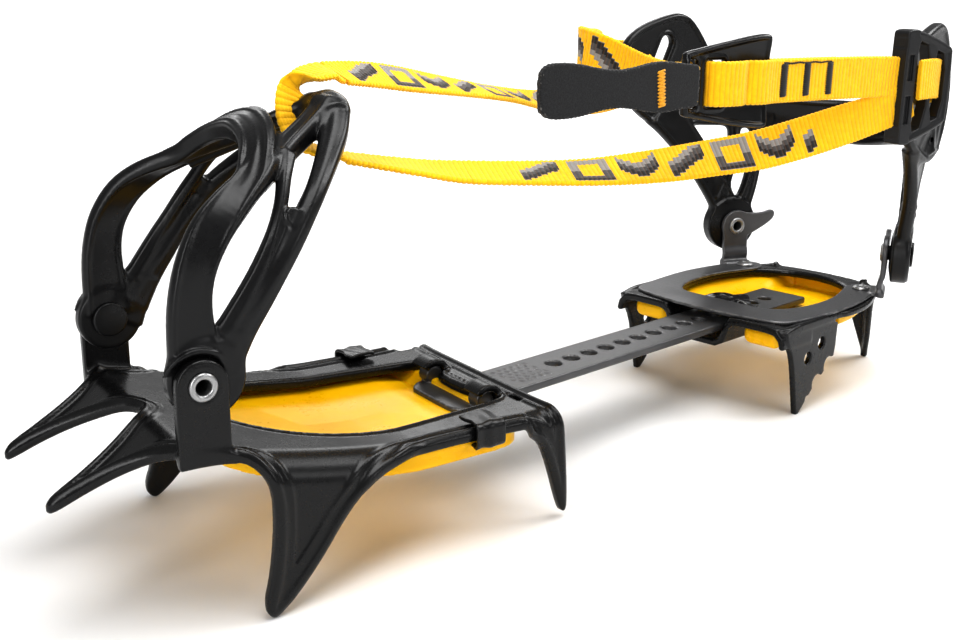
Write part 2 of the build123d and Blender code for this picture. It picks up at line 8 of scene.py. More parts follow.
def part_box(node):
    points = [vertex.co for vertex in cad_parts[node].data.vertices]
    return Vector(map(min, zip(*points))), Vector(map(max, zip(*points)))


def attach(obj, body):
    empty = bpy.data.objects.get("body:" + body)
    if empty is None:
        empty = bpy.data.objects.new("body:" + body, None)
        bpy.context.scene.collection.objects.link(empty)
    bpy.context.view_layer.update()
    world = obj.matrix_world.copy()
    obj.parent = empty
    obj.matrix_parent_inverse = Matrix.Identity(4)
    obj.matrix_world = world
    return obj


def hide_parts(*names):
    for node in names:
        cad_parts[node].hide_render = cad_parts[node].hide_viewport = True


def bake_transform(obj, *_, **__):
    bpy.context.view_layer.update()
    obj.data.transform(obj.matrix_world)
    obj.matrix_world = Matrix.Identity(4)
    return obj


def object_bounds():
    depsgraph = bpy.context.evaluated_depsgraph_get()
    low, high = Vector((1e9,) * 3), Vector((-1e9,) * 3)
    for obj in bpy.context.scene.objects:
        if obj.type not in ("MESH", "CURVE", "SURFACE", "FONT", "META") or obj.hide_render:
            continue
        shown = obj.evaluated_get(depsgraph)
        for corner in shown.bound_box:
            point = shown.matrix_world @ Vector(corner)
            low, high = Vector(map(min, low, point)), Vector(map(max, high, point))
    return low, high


# Strap-on walking crampon. Shapes are worked out in millimetres in the part's working frame: X runs
# along the linking bar from toe to heel with X = 0 at the hinge loops, +Y is the inner side of the
# foot, and Z = 0 is the middle of the front frame's sheet. The front section has a frame of its own,
# turned by TOE_YAW. Points move into the row's frame, in metres, when a mesh is made.

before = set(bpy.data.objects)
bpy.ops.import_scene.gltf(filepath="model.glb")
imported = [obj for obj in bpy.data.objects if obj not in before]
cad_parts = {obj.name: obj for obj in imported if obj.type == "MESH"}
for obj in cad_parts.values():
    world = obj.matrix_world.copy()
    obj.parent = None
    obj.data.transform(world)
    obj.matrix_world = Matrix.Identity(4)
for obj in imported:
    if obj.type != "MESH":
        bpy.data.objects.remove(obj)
cad_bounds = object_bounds()
SIDES = ((1, "inner"), (-1, "outer"))

# ---- the working frame, from the CAD nodes ----
MM = 0.001
TIP_Z = -33.5                   # the long points' tips stand at the bottom of the object
HEEL_FRONT = 123.5              # front of the heel frame's channel
POST_X, POST_Z = 95.2, 28.2     # toe pivots ahead of the hinge loops, and above the sheet
BORE = 2.95                     # radius of the pivots' holes in the posts and the toe cage
TOE_YAW = math.radians(-9.57)   # front section against the bar
FRONT_SHIFT = 1.0               # its centre line beside the bar's
heel_lo, heel_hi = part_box("heel_frame")
HOME = np.array([heel_lo.x / MM - HEEL_FRONT, (heel_lo.y + heel_hi.y) / 2 / MM,
                 cad_bounds[0][2] / MM - TIP_Z])


def to_working(points):
    "from the front section's own frame to the working frame"
    p = np.array(points, float).reshape(-1, 3)
    c, s = math.cos(TOE_YAW), math.sin(TOE_YAW)
    y = p[:, 1] + FRONT_SHIFT
    return np.stack([p[:, 0] * c - y * s, p[:, 0] * s + y * c, p[:, 2]], 1)


def to_front(p):
    "from the working frame to the front section's own frame"
    c, s = math.cos(TOE_YAW), math.sin(TOE_YAW)
    return np.stack([p[:, 0] * c + p[:, 1] * s, -p[:, 0] * s + p[:, 1] * c - FRONT_SHIFT, p[:, 2]], 1)


def to_row(points, front=False):
    "millimetres to the row's metres; front: the points are in the front section's own frame"
    p = to_working(points) if front else np.array(points, float).reshape(-1, 3)
    return (p + HOME) * MM


def belong(obj, body, node):
    """a piece rides on a body and stands for a CAD node"""
    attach(obj, body)
    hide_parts(node)


# ---- distance fields: negative inside, in millimetres ----
PAD = 4.0                       # how far outside its box a local field is still worked out
WEAR_DEPTH = 0.5
CORNERS = np.array([[i, j, k] for i in (0, 1) for j in (0, 1) for k in (0, 1)])


def smooth_min(a, b, k):
    h = np.clip(0.5 + 0.5 * (b - a) / k, 0, 1)
    return b * (1 - h) + a * h - k * h * (1 - h)


def smooth_max(a, b, k):
    return -smooth_min(-a, -b, k)


def ease(x, a, b):
    t = np.clip((x - a) / (b - a), 0, 1)
    return t * t * (3 - 2 * t)


def window(x, a, b, soft):
    return ease(x, a - soft / 2, a + soft / 2) * (1 - ease(x, b - soft / 2, b + soft / 2))


def polygon(px, py, points):
    "signed distance to a closed outline"
    pts = np.array(points, float)
    best = np.full(px.shape, 1e12)
    inside = np.zeros(px.shape, bool)
    for (ax, ay), (bx, by) in zip(pts, np.roll(pts, -1, 0)):
        ex, ey, wx, wy = bx - ax, by - ay, px - ax, py - ay
        t = np.clip((wx * ex + wy * ey) / (ex * ex + ey * ey), 0, 1)
        best = np.minimum(best, (wx - ex * t) ** 2 + (wy - ey * t) ** 2)
        if ay != by:
            cross = ((ay <= py) != (by <= py)) & (px < ax + (py - ay) / (by - ay) * ex)
            inside ^= cross
    return np.where(inside, -1, 1) * np.sqrt(best)


def rounded(points, times=2, keep=()):
    "an outline with its corners cut round; keep lists the corners that stay sharp"
    pts = [(tuple(p), i in keep) for i, p in enumerate(points)]
    for _ in range(times):
        out = []
        for i, (p, sharp) in enumerate(pts):
            a, b = pts[i - 1][0], pts[(i + 1) % len(pts)][0]
            if sharp:
                out.append((p, True))
            else:
                out.append((tuple(0.75 * u + 0.25 * v for u, v in zip(p, a)), False))
                out.append((tuple(0.75 * u + 0.25 * v for u, v in zip(p, b)), False))
        pts = out
    return [p for p, _ in pts]


def under(points):
    "the mirrored way back of an outline that is symmetric about its long axis"
    return [(x, -y) for x, y in reversed(points)]


def plate(d2, dz, r):
    "an outline's distance and a thickness distance, joined with edges of radius r"
    a, b = d2 + r, dz + r
    return np.minimum(np.maximum(a, b), 0) + np.hypot(np.maximum(a, 0), np.maximum(b, 0)) - r


def local(fn, lo, hi):
    "a field that is only worked out near its own box"
    lo, hi = np.array(lo, float), np.array(hi, float)

    def field(p):
        out = np.linalg.norm(np.maximum(np.maximum(lo - p, p - hi), 0), axis=1) + 0.5
        near = out < PAD + 0.5
        if near.any():
            out[near] = fn(p[near])
        return out
    return field


def disc(centre, axis, radius, half, r=0.6):
    "a round disc with rounded edges"
    c, a = np.array(centre, float), np.array(axis, float) / np.linalg.norm(axis)
    reach = radius + half + r

    def fn(p):
        q = p - c
        h = q @ a
        radial = np.sqrt(np.maximum((q * q).sum(1) - h * h, 0))
        return plate(radial - radius, np.abs(h) - half, r)
    return local(fn, c - reach, c + reach)


def curve(points, per=4):
    "a smooth curve through points of any dimension"
    p = np.array(points, float)
    q = np.vstack([2 * p[0] - p[1], p, 2 * p[-1] - p[-2]])
    out = []
    for i in range(1, len(q) - 2):
        for j in range(per):
            t = j / per
            a, b, c, d = q[i - 1], q[i], q[i + 1], q[i + 2]
            out.append(0.5 * (2 * b + (c - a) * t + (2 * a - 5 * b + 4 * c - d) * t * t
                              + (3 * b - a - 3 * c + d) * t ** 3))
    out.append(p[-1])
    return np.array(out)


def frames(points, across, per, facing=False):
    "curve points with unit tangent, across and normal vectors; facing: the vectors given are normals"
    c = curve(points, per)
    a = curve(across, per)
    t = np.gradient(c, axis=0)
    t /= np.linalg.norm(t, axis=1)[:, None]
    if facing:
        a = np.cross(a, t)
    a = a - t * (a * t).sum(1)[:, None]
    a /= np.linalg.norm(a, axis=1)[:, None]
    return c, t, a, np.cross(t, a)


def sweep(points, across, width, thick, r=1.2, shape=None, per=4, facing=False):
    """a band along a curve; across is the direction of its width. shape(s, u, v, w, tt, du, dv) may
    change the section's distances du and dv: s runs 0..1 along, u and v are the section's coordinates,
    w and tt its width and thickness"""
    c, tan, acr, nor = frames(points, across, per, facing)
    w = curve(np.array(width, float)[:, None], per)[:, 0]
    th = curve(np.array(thick, float)[:, None], per)[:, 0]
    run = np.concatenate([[0], np.cumsum(np.linalg.norm(np.diff(c, axis=0), axis=1))])
    run /= run[-1]
    reach = max(w.max(), th.max()) * 0.75 + PAD
    lo, hi = c.min(0) - reach + PAD, c.max(0) + reach - PAD

    def fn(p):
        best = np.full(len(p), 1e12)
        seg = np.zeros(len(p), int)
        par = np.zeros(len(p))
        for i in range(len(c) - 1):
            mask = np.all((p > np.minimum(c[i], c[i + 1]) - reach)
                          & (p < np.maximum(c[i], c[i + 1]) + reach), 1)
            idx = np.nonzero(mask)[0]
            if not len(idx):
                continue
            e = c[i + 1] - c[i]
            q = p[idx] - c[i]
            t = np.clip(q @ e / (e @ e), 0, 1)
            d = ((q - t[:, None] * e) ** 2).sum(1)
            better = d < best[idx]
            idx = idx[better]
            best[idx], seg[idx], par[idx] = d[better], i, t[better]
        t = par[:, None]
        centre = c[seg] * (1 - t) + c[seg + 1] * t
        q = p - centre
        a = acr[seg] * (1 - t) + acr[seg + 1] * t
        n = nor[seg] * (1 - t) + nor[seg + 1] * t
        g = tan[seg] * (1 - t) + tan[seg + 1] * t
        u, v, along = (q * a).sum(1), (q * n).sum(1), (q * g).sum(1)
        ww, tt = w[seg] * (1 - par) + w[seg + 1] * par, th[seg] * (1 - par) + th[seg + 1] * par
        s = run[seg] * (1 - par) + run[seg + 1] * par
        du, dv = np.abs(u) - ww / 2, np.abs(v) - tt / 2
        if shape:
            du, dv = shape(s, u, v, ww, tt, du, dv)
        over = np.maximum(np.abs(along) - 0.3, 0)
        d = plate(du, dv, r)
        return np.hypot(np.maximum(d, 0), over) + np.minimum(d, 0) * (over < 0.01)
    return local(fn, lo, hi)


def union(fields, k=0.0):
    def field(p):
        d = fields[0](p)
        for f in fields[1:]:
            d = smooth_min(d, f(p), k) if k else np.minimum(d, f(p))
        return d
    return field


def surface(field, lo, hi, h):
    "vertices and quads of the field's zero level on a lattice of pitch h, refined from coarse to fine"
    lo = np.array(lo, float) - 2 * h
    size = np.array(hi, float) + 2 * h - lo
    step = 16
    n = np.ceil(size / (step * h)).astype(int)
    cells = np.stack(np.meshgrid(*[np.arange(k) for k in n], indexing="ij"), -1).reshape(-1, 3)
    while step > 1:
        d = field(lo + (cells + 0.5) * step * h)
        cells = cells[np.abs(d) < step * h * 0.95 + 1.2]
        cells = (cells[:, None, :] * 2 + CORNERS[None]).reshape(-1, 3)
        step //= 2
    cells = cells[np.abs(field(lo + (cells + 0.5) * h)) < 1.3 * h + 0.2]
    span = n * 16 + 2

    def key(c):
        return (c[..., 0] * span[1] + c[..., 1]) * span[2] + c[..., 2]
    corner_keys = key(cells[:, None, :] + CORNERS[None])
    unique, where = np.unique(corner_keys, return_inverse=True)
    kk = unique % span[2]
    jj = unique // span[2] % span[1]
    ii = unique // (span[2] * span[1])
    values = field(lo + np.stack([ii, jj, kk], 1) * h)
    values[values == 0] = 1e-6
    v = values[where.reshape(corner_keys.shape)]
    inside = v < 0
    live = inside.any(1) & ~inside.all(1)
    cells, v = cells[live], v[live]
    order = np.argsort(key(cells))
    cells, v = cells[order], v[order]
    keys = key(cells)
    total, count = np.zeros((len(cells), 3)), np.zeros(len(cells))
    for a in range(8):
        for b in range(a + 1, 8):
            if np.abs(CORNERS[a] - CORNERS[b]).sum() != 1:
                continue
            cut = (v[:, a] < 0) != (v[:, b] < 0)
            t = v[cut, a] / (v[cut, a] - v[cut, b])
            total[cut] += CORNERS[a] + t[:, None] * (CORNERS[b] - CORNERS[a])
            count[cut] += 1
    verts = lo + (cells + total / count[:, None]) * h
    quads = []
    for axis in range(3):
        b, c = (axis + 1) % 3, (axis + 2) % 3
        far = 1 << (2 - axis)
        cut = (v[:, 0] < 0) != (v[:, far] < 0)
        base, inner = cells[cut], v[cut, 0] < 0
        eb, ec = np.eye(3, dtype=int)[b], np.eye(3, dtype=int)[c]
        ring = []
        good = np.ones(len(base), bool)
        for off in (0 * eb, eb, eb + ec, ec):
            k = key(base - off)
            pos = np.clip(np.searchsorted(keys, k), 0, len(keys) - 1)
            good &= keys[pos] == k
            ring.append(pos)
        quad = np.stack(ring, 1)
        quad[~inner] = quad[~inner][:, ::-1]
        quads.append(quad[good])
    return verts, np.vstack(quads)


def gradient(field, p, e=0.05):
    g = np.stack([field(p + e * np.eye(3)[i]) - field(p - e * np.eye(3)[i]) for i in range(3)], 1)
    return g / np.maximum(np.linalg.norm(g, axis=1), 1e-9)[:, None]


def make_mesh(name, verts, quads, material):
    mesh = bpy.data.meshes.new(name)
    verts = np.asarray(verts, np.float32)
    mesh.vertices.add(len(verts))
    mesh.vertices.foreach_set("co", verts.ravel())
    mesh.loops.add(quads.size)
    mesh.loops.foreach_set("vertex_index", quads.ravel().astype(np.int32))
    mesh.polygons.add(len(quads))
    mesh.polygons.foreach_set("loop_start", np.arange(0, quads.size, 4).astype(np.int32))
    mesh.update(calc_edges=True)
    mesh.validate()
    mesh.polygons.foreach_set("use_smooth", np.full(len(mesh.polygons), True))
    obj = bpy.data.objects.new(name, mesh)
    bpy.context.scene.collection.objects.link(obj)
    mesh.materials.append(material)
    return obj


def point_values(obj, name, values):
    obj.data.attributes.new(name, "FLOAT", "POINT").data.foreach_set("value", values.astype(np.float32))


def solid(name, field, lo, hi, h, material, front=False):
    "a mesh from a field, with its wear attribute: 1 on outer edges, found WEAR_DEPTH below the surface"
    verts, quads = surface(field, lo, hi, h)
    for _ in range(2):
        move = np.clip(field(verts), -0.4 * h, 0.4 * h)
        verts = verts - 0.8 * move[:, None] * gradient(field, verts)
    wear = np.clip((field(verts - WEAR_DEPTH * gradient(field, verts)) + 0.93 * WEAR_DEPTH)
                   / (0.6 * WEAR_DEPTH), 0, 1)
    obj = make_mesh(name, to_row(verts, front), quads, material)
    point_values(obj, "wear", wear)
    return obj


def bump(t):
    "a smooth hump, 1 at t = 0 and 0 beyond 1"
    return np.clip(1 - t * t, 0, 1) ** 2


def sheet_z(x):
    "middle of the front frame's sheet along X"
    rise = 10.5 * (np.maximum(-36.0 - x, 0) / 58.0) ** 1.4
    ahead = np.maximum(-97.0 - x, 0)
    return smooth_min(rise, 11.9 - 0.5 * ahead ** 2 / (ahead + 6.0), 2.5)


# ---- front frame: one forged sheet. Its flat pattern is (x, run), run being measured over the bend ----
FRAME_PATTERN = rounded([(11.5, -12), (11.5, 26), (12.2, 36), (13.6, 45), (15.8, 64.5), (15.0, 67.8),
                         (13.2, 67.0), (7.5, 50), (3.0, 41.5), (-4, 40.2), (-14, 39.8), (-30, 39.6),
                         (-42, 40.6), (-52, 44.4), (-59.3, 50.7), (-69.8, 66.8), (-79.8, 78.9),
                         (-82.6, 80.7), (-84.8, 78.3), (-82.0, 68), (-80.4, 55), (-80.8, 45.5),
                         (-84.5, 39.6), (-91, 37.8), (-98, 37.4), (-101.5, 33.5), (-105.5, 28.5),
                         (-112, 24.8), (-120, 22.6), (-127.2, 21.6), (-129.0, 19.4), (-127.2, 17.8),
                         (-119, 16.2), (-111, 12.6), (-104, 7.6), (-98.6, 2.8), (-97.6, -3), (-97.6, -12)],
                        2, (0, 37))
FRAME_OPENING = rounded([(-1.8, -12), (-1.8, 9.6), (3.6, 9.6), (3.6, 19.6), (-1.8, 21.4), (-13, 22.6),
                         (-30, 24.6), (-45, 25.4), (-56, 24.6), (-66, 21.8), (-75, 15.6), (-80.5, 7),
                         (-81.5, -3), (-81.5, -12)], 2, (0, 13))


def frame_bend(x):
    "where the sheet starts to bend down, and the bend's radius"
    point = window(x, -88.0, -38.0, 16.0)
    corner = ease(x, -6.0, 2.0)
    flat = (1 - point) * (1 - corner)
    start = 34.57 * point + 33.4 * corner + 41.5 * flat
    return start, 5.0 + 2.5 * point - 0.8 * corner, 0.03 * point - 0.05 * corner


def forged_sheet(p):
    x, y, z = p[:, 0], np.abs(p[:, 1]), p[:, 2]
    start, radius, lean = frame_bend(x)
    h = z - sheet_z(x)
    y = y - lean * np.maximum(-h - radius, 0)
    out = y - start
    down = (h < -radius) & (h < out - radius)
    arc = (out > 0) & ~down
    angle = np.arctan2(out, h + radius)
    run = np.where(down, start + radius * (math.pi / 2 - 1) - h, np.where(arc, start + radius * angle, y))
    off = np.where(down, out - radius, np.where(arc, np.hypot(out, h + radius) - radius, h))
    edge = polygon(x, run, FRAME_PATTERN)
    inner = polygon(x, run, FRAME_OPENING)
    claw = 1 - ease(x, -108.0, -97.0)
    spike = ease(run, 37.0, 56.0)
    rail = (1 - claw) * (1 - spike)
    ridge = 0.85 * bump((-edge - 1.7) / 1.5) * (1 - 0.45 * spike)
    ridge = ridge + (0.5 * rail + 0.35 * spike) * bump((-edge - 4.9) / 1.1)
    ridge = ridge - 0.75 * spike * ease(-edge, 2.6, 6.0) - 0.9 * claw * ease(-edge, 2.2, 3.6)
    ridge = ridge + 0.5 * bump((inner - 1.3) / 1.3) * (1 - spike)
    keel = claw * 1.9 * np.clip(-edge / 4.0, 0, 1) + 0.5 * spike
    thick = np.maximum(off - 1.4 - ridge, -off - 1.4 - keel)
    thin = 0.55 * bump((run - 80.5) / 6.0)
    return plate(smooth_max(edge, -inner, 1.0), thick + thin, 0.9)


def posts(p):
    x, y, z = p[:, 0] + POST_X, np.abs(p[:, 1]), p[:, 2]
    round_top = np.hypot(x, np.maximum(z - POST_Z, 0)) - 6.5
    flank = np.where(z > POST_Z, round_top, np.abs(x) - 6.5)
    outline = np.maximum(flank, 8.2 - z)
    dent = 0.25 * bump((np.hypot(x, z - POST_Z) - 4.6) / 0.9)
    return plate(outline, np.abs(y - 36.5) - 1.5 - dent, 0.45)


def hinge_loops(p):
    x, y, z = p[:, 0], np.abs(p[:, 1]), p[:, 2]
    ring = np.abs(np.hypot(x, z + 0.3) - 4.3) - 1.05
    ends = np.abs(y - 14.6) - 4.0
    keep = np.maximum(-0.7 - z, np.minimum(-2.9 - x, 2.4 - z))
    return plate(smooth_max(ring, keep, 0.5), ends, 0.5)


def frame_field(p):
    base = smooth_min(forged_sheet(p), posts(p), 2.2)
    base = smooth_min(base, hinge_loops(p), 1.2)
    x, y, z = p[:, 0], np.abs(p[:, 1]), p[:, 2]
    hole = plate(np.hypot(np.maximum(np.abs(y - 22.8) - 1.9, 0), x - 6.6) - 1.1, np.abs(z) - 6, 0.1)
    bore_r = np.hypot(x + POST_X, z - POST_Z) - BORE
    bore_d = np.maximum(bore_r, 30 - y)
    return np.maximum(np.maximum(base + marks(p), -hole), -bore_d)


def marks(p):
    "generic stamped dashes on the cross member"
    x, y, z = p[:, 0], p[:, 1], p[:, 2]
    row = bump((x - 2.2) / 1.0) * (z > 0.5)
    return 0.3 * row * (np.abs(y) < 9) * (np.sin(y * 2.6) > 0.1)


def make_front_frame(material):
    obj = solid("front_frame_forged", frame_field, (-131, -46, -36), (18, 46, 37), 0.62, material, True)
    belong(obj, "front", "front_frame")


# ---- snow plates ----
SNOW_FRONT = rounded([(1.0, -12), (1.0, 30), (-3, 35.5), (-12, 37.2), (-36, 37.4), (-60, 37.2), (-74, 35.8),
                      (-84, 29.0), (-89, 18), (-90.5, -3), (-90.5, -12)], 2, (0, 10))


def snow_front_field(p):
    x, y, z = p[:, 0], np.abs(p[:, 1]), p[:, 2]
    edge = polygon(x, y, SNOW_FRONT)
    top = sheet_z(x) - 1.6
    depth = 3.4 * ease(-edge, 0.5, 5.5)
    facet = 0.035 * np.abs(x + 52 + 0.45 * y) - 1.1 * ease(x, -16.0, -7.0) + 0.016 * np.abs(x + 26 - 0.7 * y)
    floor = top - 0.6 - depth + np.clip(facet, -2.4, 1.8) * ease(-edge, 5, 9)
    belly = 1.5 * bump((x + 9) / 7.0) * bump((y - 33) / 7.0)
    h = z - floor
    d = np.maximum(h - 0.8, -h - 0.8 - belly)
    rim = np.maximum(np.abs(edge + 1.0) - 1.0, np.maximum(z - top, top - 5.4 - z))
    return smooth_min(plate(edge, d, 0.6), rim, 1.2)


def make_snow_front(material):
    obj = solid("front_snow_plate_moulded", snow_front_field, (-92, -40, -14), (3, 40, 12), 0.62,
                material, True)
    belong(obj, "front", "front_snow_plate")


def clip_field(side):
    def field(p):
        x, y, z = p[:, 0] + 15.0, p[:, 1] * side, p[:, 2]
        wob = 0.6 * np.sin(x * 0.75 + 0.6) + 0.25 * np.sin(x * 1.5 + y * 0.5)
        core = np.hypot(np.maximum(np.abs(y - 35.2) - 4.4, 0), np.maximum(np.abs(z - 0.1) - 1.9, 0)) - 1.0
        shell = np.abs(core - 0.5 - 0.35 * wob) - 0.5
        cut = y - 31.5
        ends = np.abs(x + 0.12 * wob) - 4.4 - 0.35 * np.sin(y * 0.8)
        return plate(np.maximum(ends, -cut), shell, 0.25)
    return field


def make_clips(material):
    for side, where in SIDES:
        lo, hi = ((-23, 28, -8), (-7, 44, 6)) if side > 0 else ((-23, -44, -8), (-7, -28, 6))
        obj = solid("clip_sheet_" + where, clip_field(side), lo, hi, 0.33, material, True)
        belong(obj, "front", "snow_plate_clip_" + where)


# ---- toe cage ----
CAGE_Y = 32.4
FORE_ARM = [(-94.8, CAGE_Y, 31.0), (-95.4, CAGE_Y, 42.0), (-94.9, 32.4, 49.4), (-92.9, 32.2, 56.4),
            (-88.8, 31.0, 63.1), (-83.2, 28.8, 68.0), (-76.4, 24.8, 72.0), (-68.3, 19.4, 75.8),
            (-60.0, 13.6, 79.6), (-51.7, 8.6, 83.6), (-44.6, 3.5, 87.0)]
ARCH = [(-78.0, 26.0, 71.0), (-74.8, 23.4, 73.2), (-71.3, 19.2, 77.0), (-68.4, 14.0, 80.4),
        (-66.4, 7.5, 82.8), (-65.6, 0, 83.8), (-66.4, -7.5, 82.8)]
REAR_RIB = [(-88.0, CAGE_Y, 33.0), (-82.6, CAGE_Y, 40.0), (-77.7, 32.4, 45.8), (-72.6, 32.2, 52.6),
            (-67.7, 31.0, 58.8), (-62.8, 28.3, 64.6), (-57.6, 24.4, 69.8), (-51.8, 18.6, 75.4),
            (-46.0, 11.8, 81.4), (-42.2, 4.6, 86.2), (-41.6, -2, 87.4)]
SLIM_RIB = [(-86.5, CAGE_Y, 39.0), (-80.2, 32.4, 48.8), (-76.1, 31.5, 55.1), (-72.2, 30.0, 61.4),
            (-68.7, 27.0, 67.6), (-66.0, 23.2, 73.0), (-63.0, 18.4, 77.4)]
WEB = [(-86.0, CAGE_Y, 36.5), (-79.6, 32.3, 46.4), (-75.0, 31.8, 53.2), (-70.4, 30.6, 60.0),
       (-67.3, 29.0, 64.0)]


def rim_shape(s, u, v, w, tt, du, dv):
    "a flat face between two slightly raised edges"
    return du, dv - 0.4 * bump((np.abs(u) - w / 2 + 1.0) / 1.1) + 0.15


def arch_shape(s, u, v, w, tt, du, dv):
    "three rolled ridges that run over the toe"
    return du, dv - 0.55 * bump((u - 2.9) / 0.95) - 0.55 * bump((u + 3.3) / 0.95) - 0.3 * bump(u / 1.2) + 0.2


def ridge_shape(s, u, v, w, tt, du, dv):
    return du, dv - 0.45 * bump(u / (0.3 * w)) + 0.2


def mirrored(field):
    "a field that is symmetric in y"
    return lambda p: field(np.stack([p[:, 0], np.abs(p[:, 1]), p[:, 2]], 1))


def toe_cage_field():
    side, lean, over = (0, 1, 0), (-0.1, 0.95, 0.25), (-0.2, 0.8, 0.55)
    fore = sweep(FORE_ARM, [side, side, (0, 1, 0.05), (-0.08, 0.98, 0.15), (-0.2, 0.9, 0.35),
                            (-0.3, 0.75, 0.55), (-0.35, 0.55, 0.75), (-0.38, 0.4, 0.85), (-0.4, 0.3, 0.9),
                            (-0.4, 0.25, 0.9), (-0.35, 0.1, 0.95)],
                 [13, 11.4, 10.4, 10.0, 10.0, 9.4, 8.4, 7.2, 6.2, 6.0, 6.6],
                 [4.2, 4, 4, 4, 4, 4.2, 4.2, 4, 4, 4.4, 5], 1.6, rim_shape, 4, True)
    arch = sweep(ARCH, [(-0.3, 0.65, 0.6), (-0.35, 0.6, 0.65), (-0.4, 0.5, 0.75), (-0.4, 0.35, 0.85),
                        (-0.38, 0.2, 0.9), (-0.35, 0, 0.93), (-0.38, -0.2, 0.9)],
                 [5.0, 7, 8.6, 9.4, 10.4, 11, 10.4], [1.6, 3.0, 4.2, 4.6, 5, 5.4, 5], 0.75,
                 arch_shape, 5, True)
    rear = sweep(REAR_RIB, [side, side, side, (0, 1, 0.05), lean, lean, over, (-0.2, 0.65, 0.7),
                            (-0.15, 0.5, 0.85), (0, 0.25, 0.95), (0.1, 0, 1)],
                 [10, 8.4, 6.6, 5.6, 5.2, 5.2, 5.4, 6.2, 7.4, 8.0, 8.0],
                 [4.2, 4.2, 4.6, 4.8, 5, 5, 5.2, 5.4, 6.0, 6.4, 6.4], 1.6, ridge_shape, 4, True)
    slim = sweep(SLIM_RIB, [side, side, side, lean, over, over, over], [6, 4.4, 3.6, 3.4, 3.4, 3.8, 5],
                 [4, 4, 4, 3.8, 3.6, 3.6, 3.6], 1.2, ridge_shape, 4, True)
    web = sweep(WEB, [side, side, side, lean, lean], [7.6, 6.6, 6.4, 6.2, 5.0], [2.0] * 5, 0.7, None, 4, True)
    gate = disc((-67.4, 29.2, 64.0), (0.25, 1, 0.3), 2.5, 1.9, 0.5)
    strut = sweep([(-72.0, 23.0, 71.0), (-62.5, 17.0, 75.4), (-53.0, 11.5, 80.0), (-46.0, 7.0, 84.0)],
                  [(0.4, 1, 0)] * 4, [2.6, 2.2, 2.2, 3.0], [3.0, 2.4, 2.4, 3.0], 1.0, None, 4)
    inner_boss = disc((-POST_X + 0.4, CAGE_Y, POST_Z), (0, 1, 0), 8.8, 2.0, 0.8)
    outer_boss = disc((-POST_X + 2.6, CAGE_Y + 0.4, 28.5), (0, 1, 0), 9.8, 1.9, 0.8)
    gusset = sweep([(-84.6, CAGE_Y, 38.4), (-86.6, CAGE_Y, 34.6), (-88.6, CAGE_Y, 31.0),
                    (-90.4, CAGE_Y, 27.6)], [side] * 4, [7.0, 8.6, 10.0, 11.0], [3.6, 3.6, 3.8, 3.8],
                   1.4, None, 5, True)
    horn = sweep([(-43.4, 7.4, 86.0), (-43.0, 0, 87.8), (-43.4, -7.4, 86.0)], [(1, 0, 0.2)] * 3,
                 [7, 9.5, 7], [5, 5.6, 5], 2.4, None, 6)
    body = union([fore, arch, rear, horn, gusset], 2.2)
    fine = union([slim, web, gate, strut], 0.9)

    def field(p):
        near = p[:, 1] < 0
        p = np.stack([p[:, 0], np.abs(p[:, 1]), p[:, 2]], 1)
        boss = np.where(near, outer_boss(p), inner_boss(p))
        d = smooth_min(smooth_min(body(p), fine(p), 1.2), boss, 1.6)
        r = np.hypot(p[:, 0] + POST_X, p[:, 2] - POST_Z)
        half = 0.5 + 1.4 * ease(p[:, 2], 31.0, 36.0)
        step = plate(np.abs(r - 8.0) - 0.75, np.abs(p[:, 1] - 34.2) - half, 0.4)
        step = np.where(p[:, 2] > 31.0, step, np.hypot(np.maximum(step, 0), 31.0 - p[:, 2]))
        clear = np.maximum(np.where(p[:, 2] > POST_Z, r - 7.1, np.abs(p[:, 0] + POST_X) - 30.0),
                           34.75 - p[:, 1])
        d = np.maximum(smooth_min(d, step, 0.5), -clear)
        return np.maximum(d, BORE - r)
    return field


def make_toe_cage(material):
    obj = solid("toe_cage_moulded", toe_cage_field(), (-107, -42, 16), (-38, 42, 93), 0.52, material, True)
    belong(obj, "toe_cage", "toe_cage")


# ---- linking bar ----
BAR_MID, BAR_HALF, BAR_END = -3.9, 10.0, 184.0
HOLE_X, HOLE_PITCH, LAST_HOLE, HOLE_R = 44.2, 8.98, 14, 2.8
BAR_HEAD = rounded([(12, -8), (12, 9.2), (6, 11.5), (4.3, 14.8), (3.2, 15.6), (-3.6, 15.6), (-8.4, 11.6),
                    (-8.6, 8), (-8.6, -8)], 1, (0, 8))


def bar_field(p):
    x, y, z = p[:, 0], p[:, 1], p[:, 2]
    strap = np.maximum(np.abs(y) - BAR_HALF, np.maximum(1.0 - x, x - BAR_END))
    q = to_front(p)
    head = polygon(q[:, 0], np.abs(q[:, 1]), BAR_HEAD)
    k = np.round(np.clip((x - HOLE_X) / HOLE_PITCH, 0, LAST_HOLE))
    hole = np.hypot(x - HOLE_X - HOLE_PITCH * k, y) - HOLE_R
    d2 = np.maximum(smooth_min(strap, head, 1.5), -hole)
    stamped = (np.abs(x - 29.0) < 8.0) & (np.abs(y) < 7) & (np.sin(x * 2.1) * np.sin(y * 1.3) > 0.25)
    body = plate(d2, np.abs(z - BAR_MID) - 1.3 + 0.22 * (stamped & (z > BAR_MID)), 0.35)
    knuckle = plate(np.hypot(q[:, 0], q[:, 2] + 0.3) - 3.0, np.abs(np.abs(q[:, 1]) - 14.0) - 2.5, 0.5)
    return smooth_min(body, knuckle, 0.8)


def make_bar(material):
    obj = solid("linking_bar_punched", bar_field, (-10, -18, -8), (186, 18, 4), 0.5, material)
    belong(obj, "bar", "linking_bar")


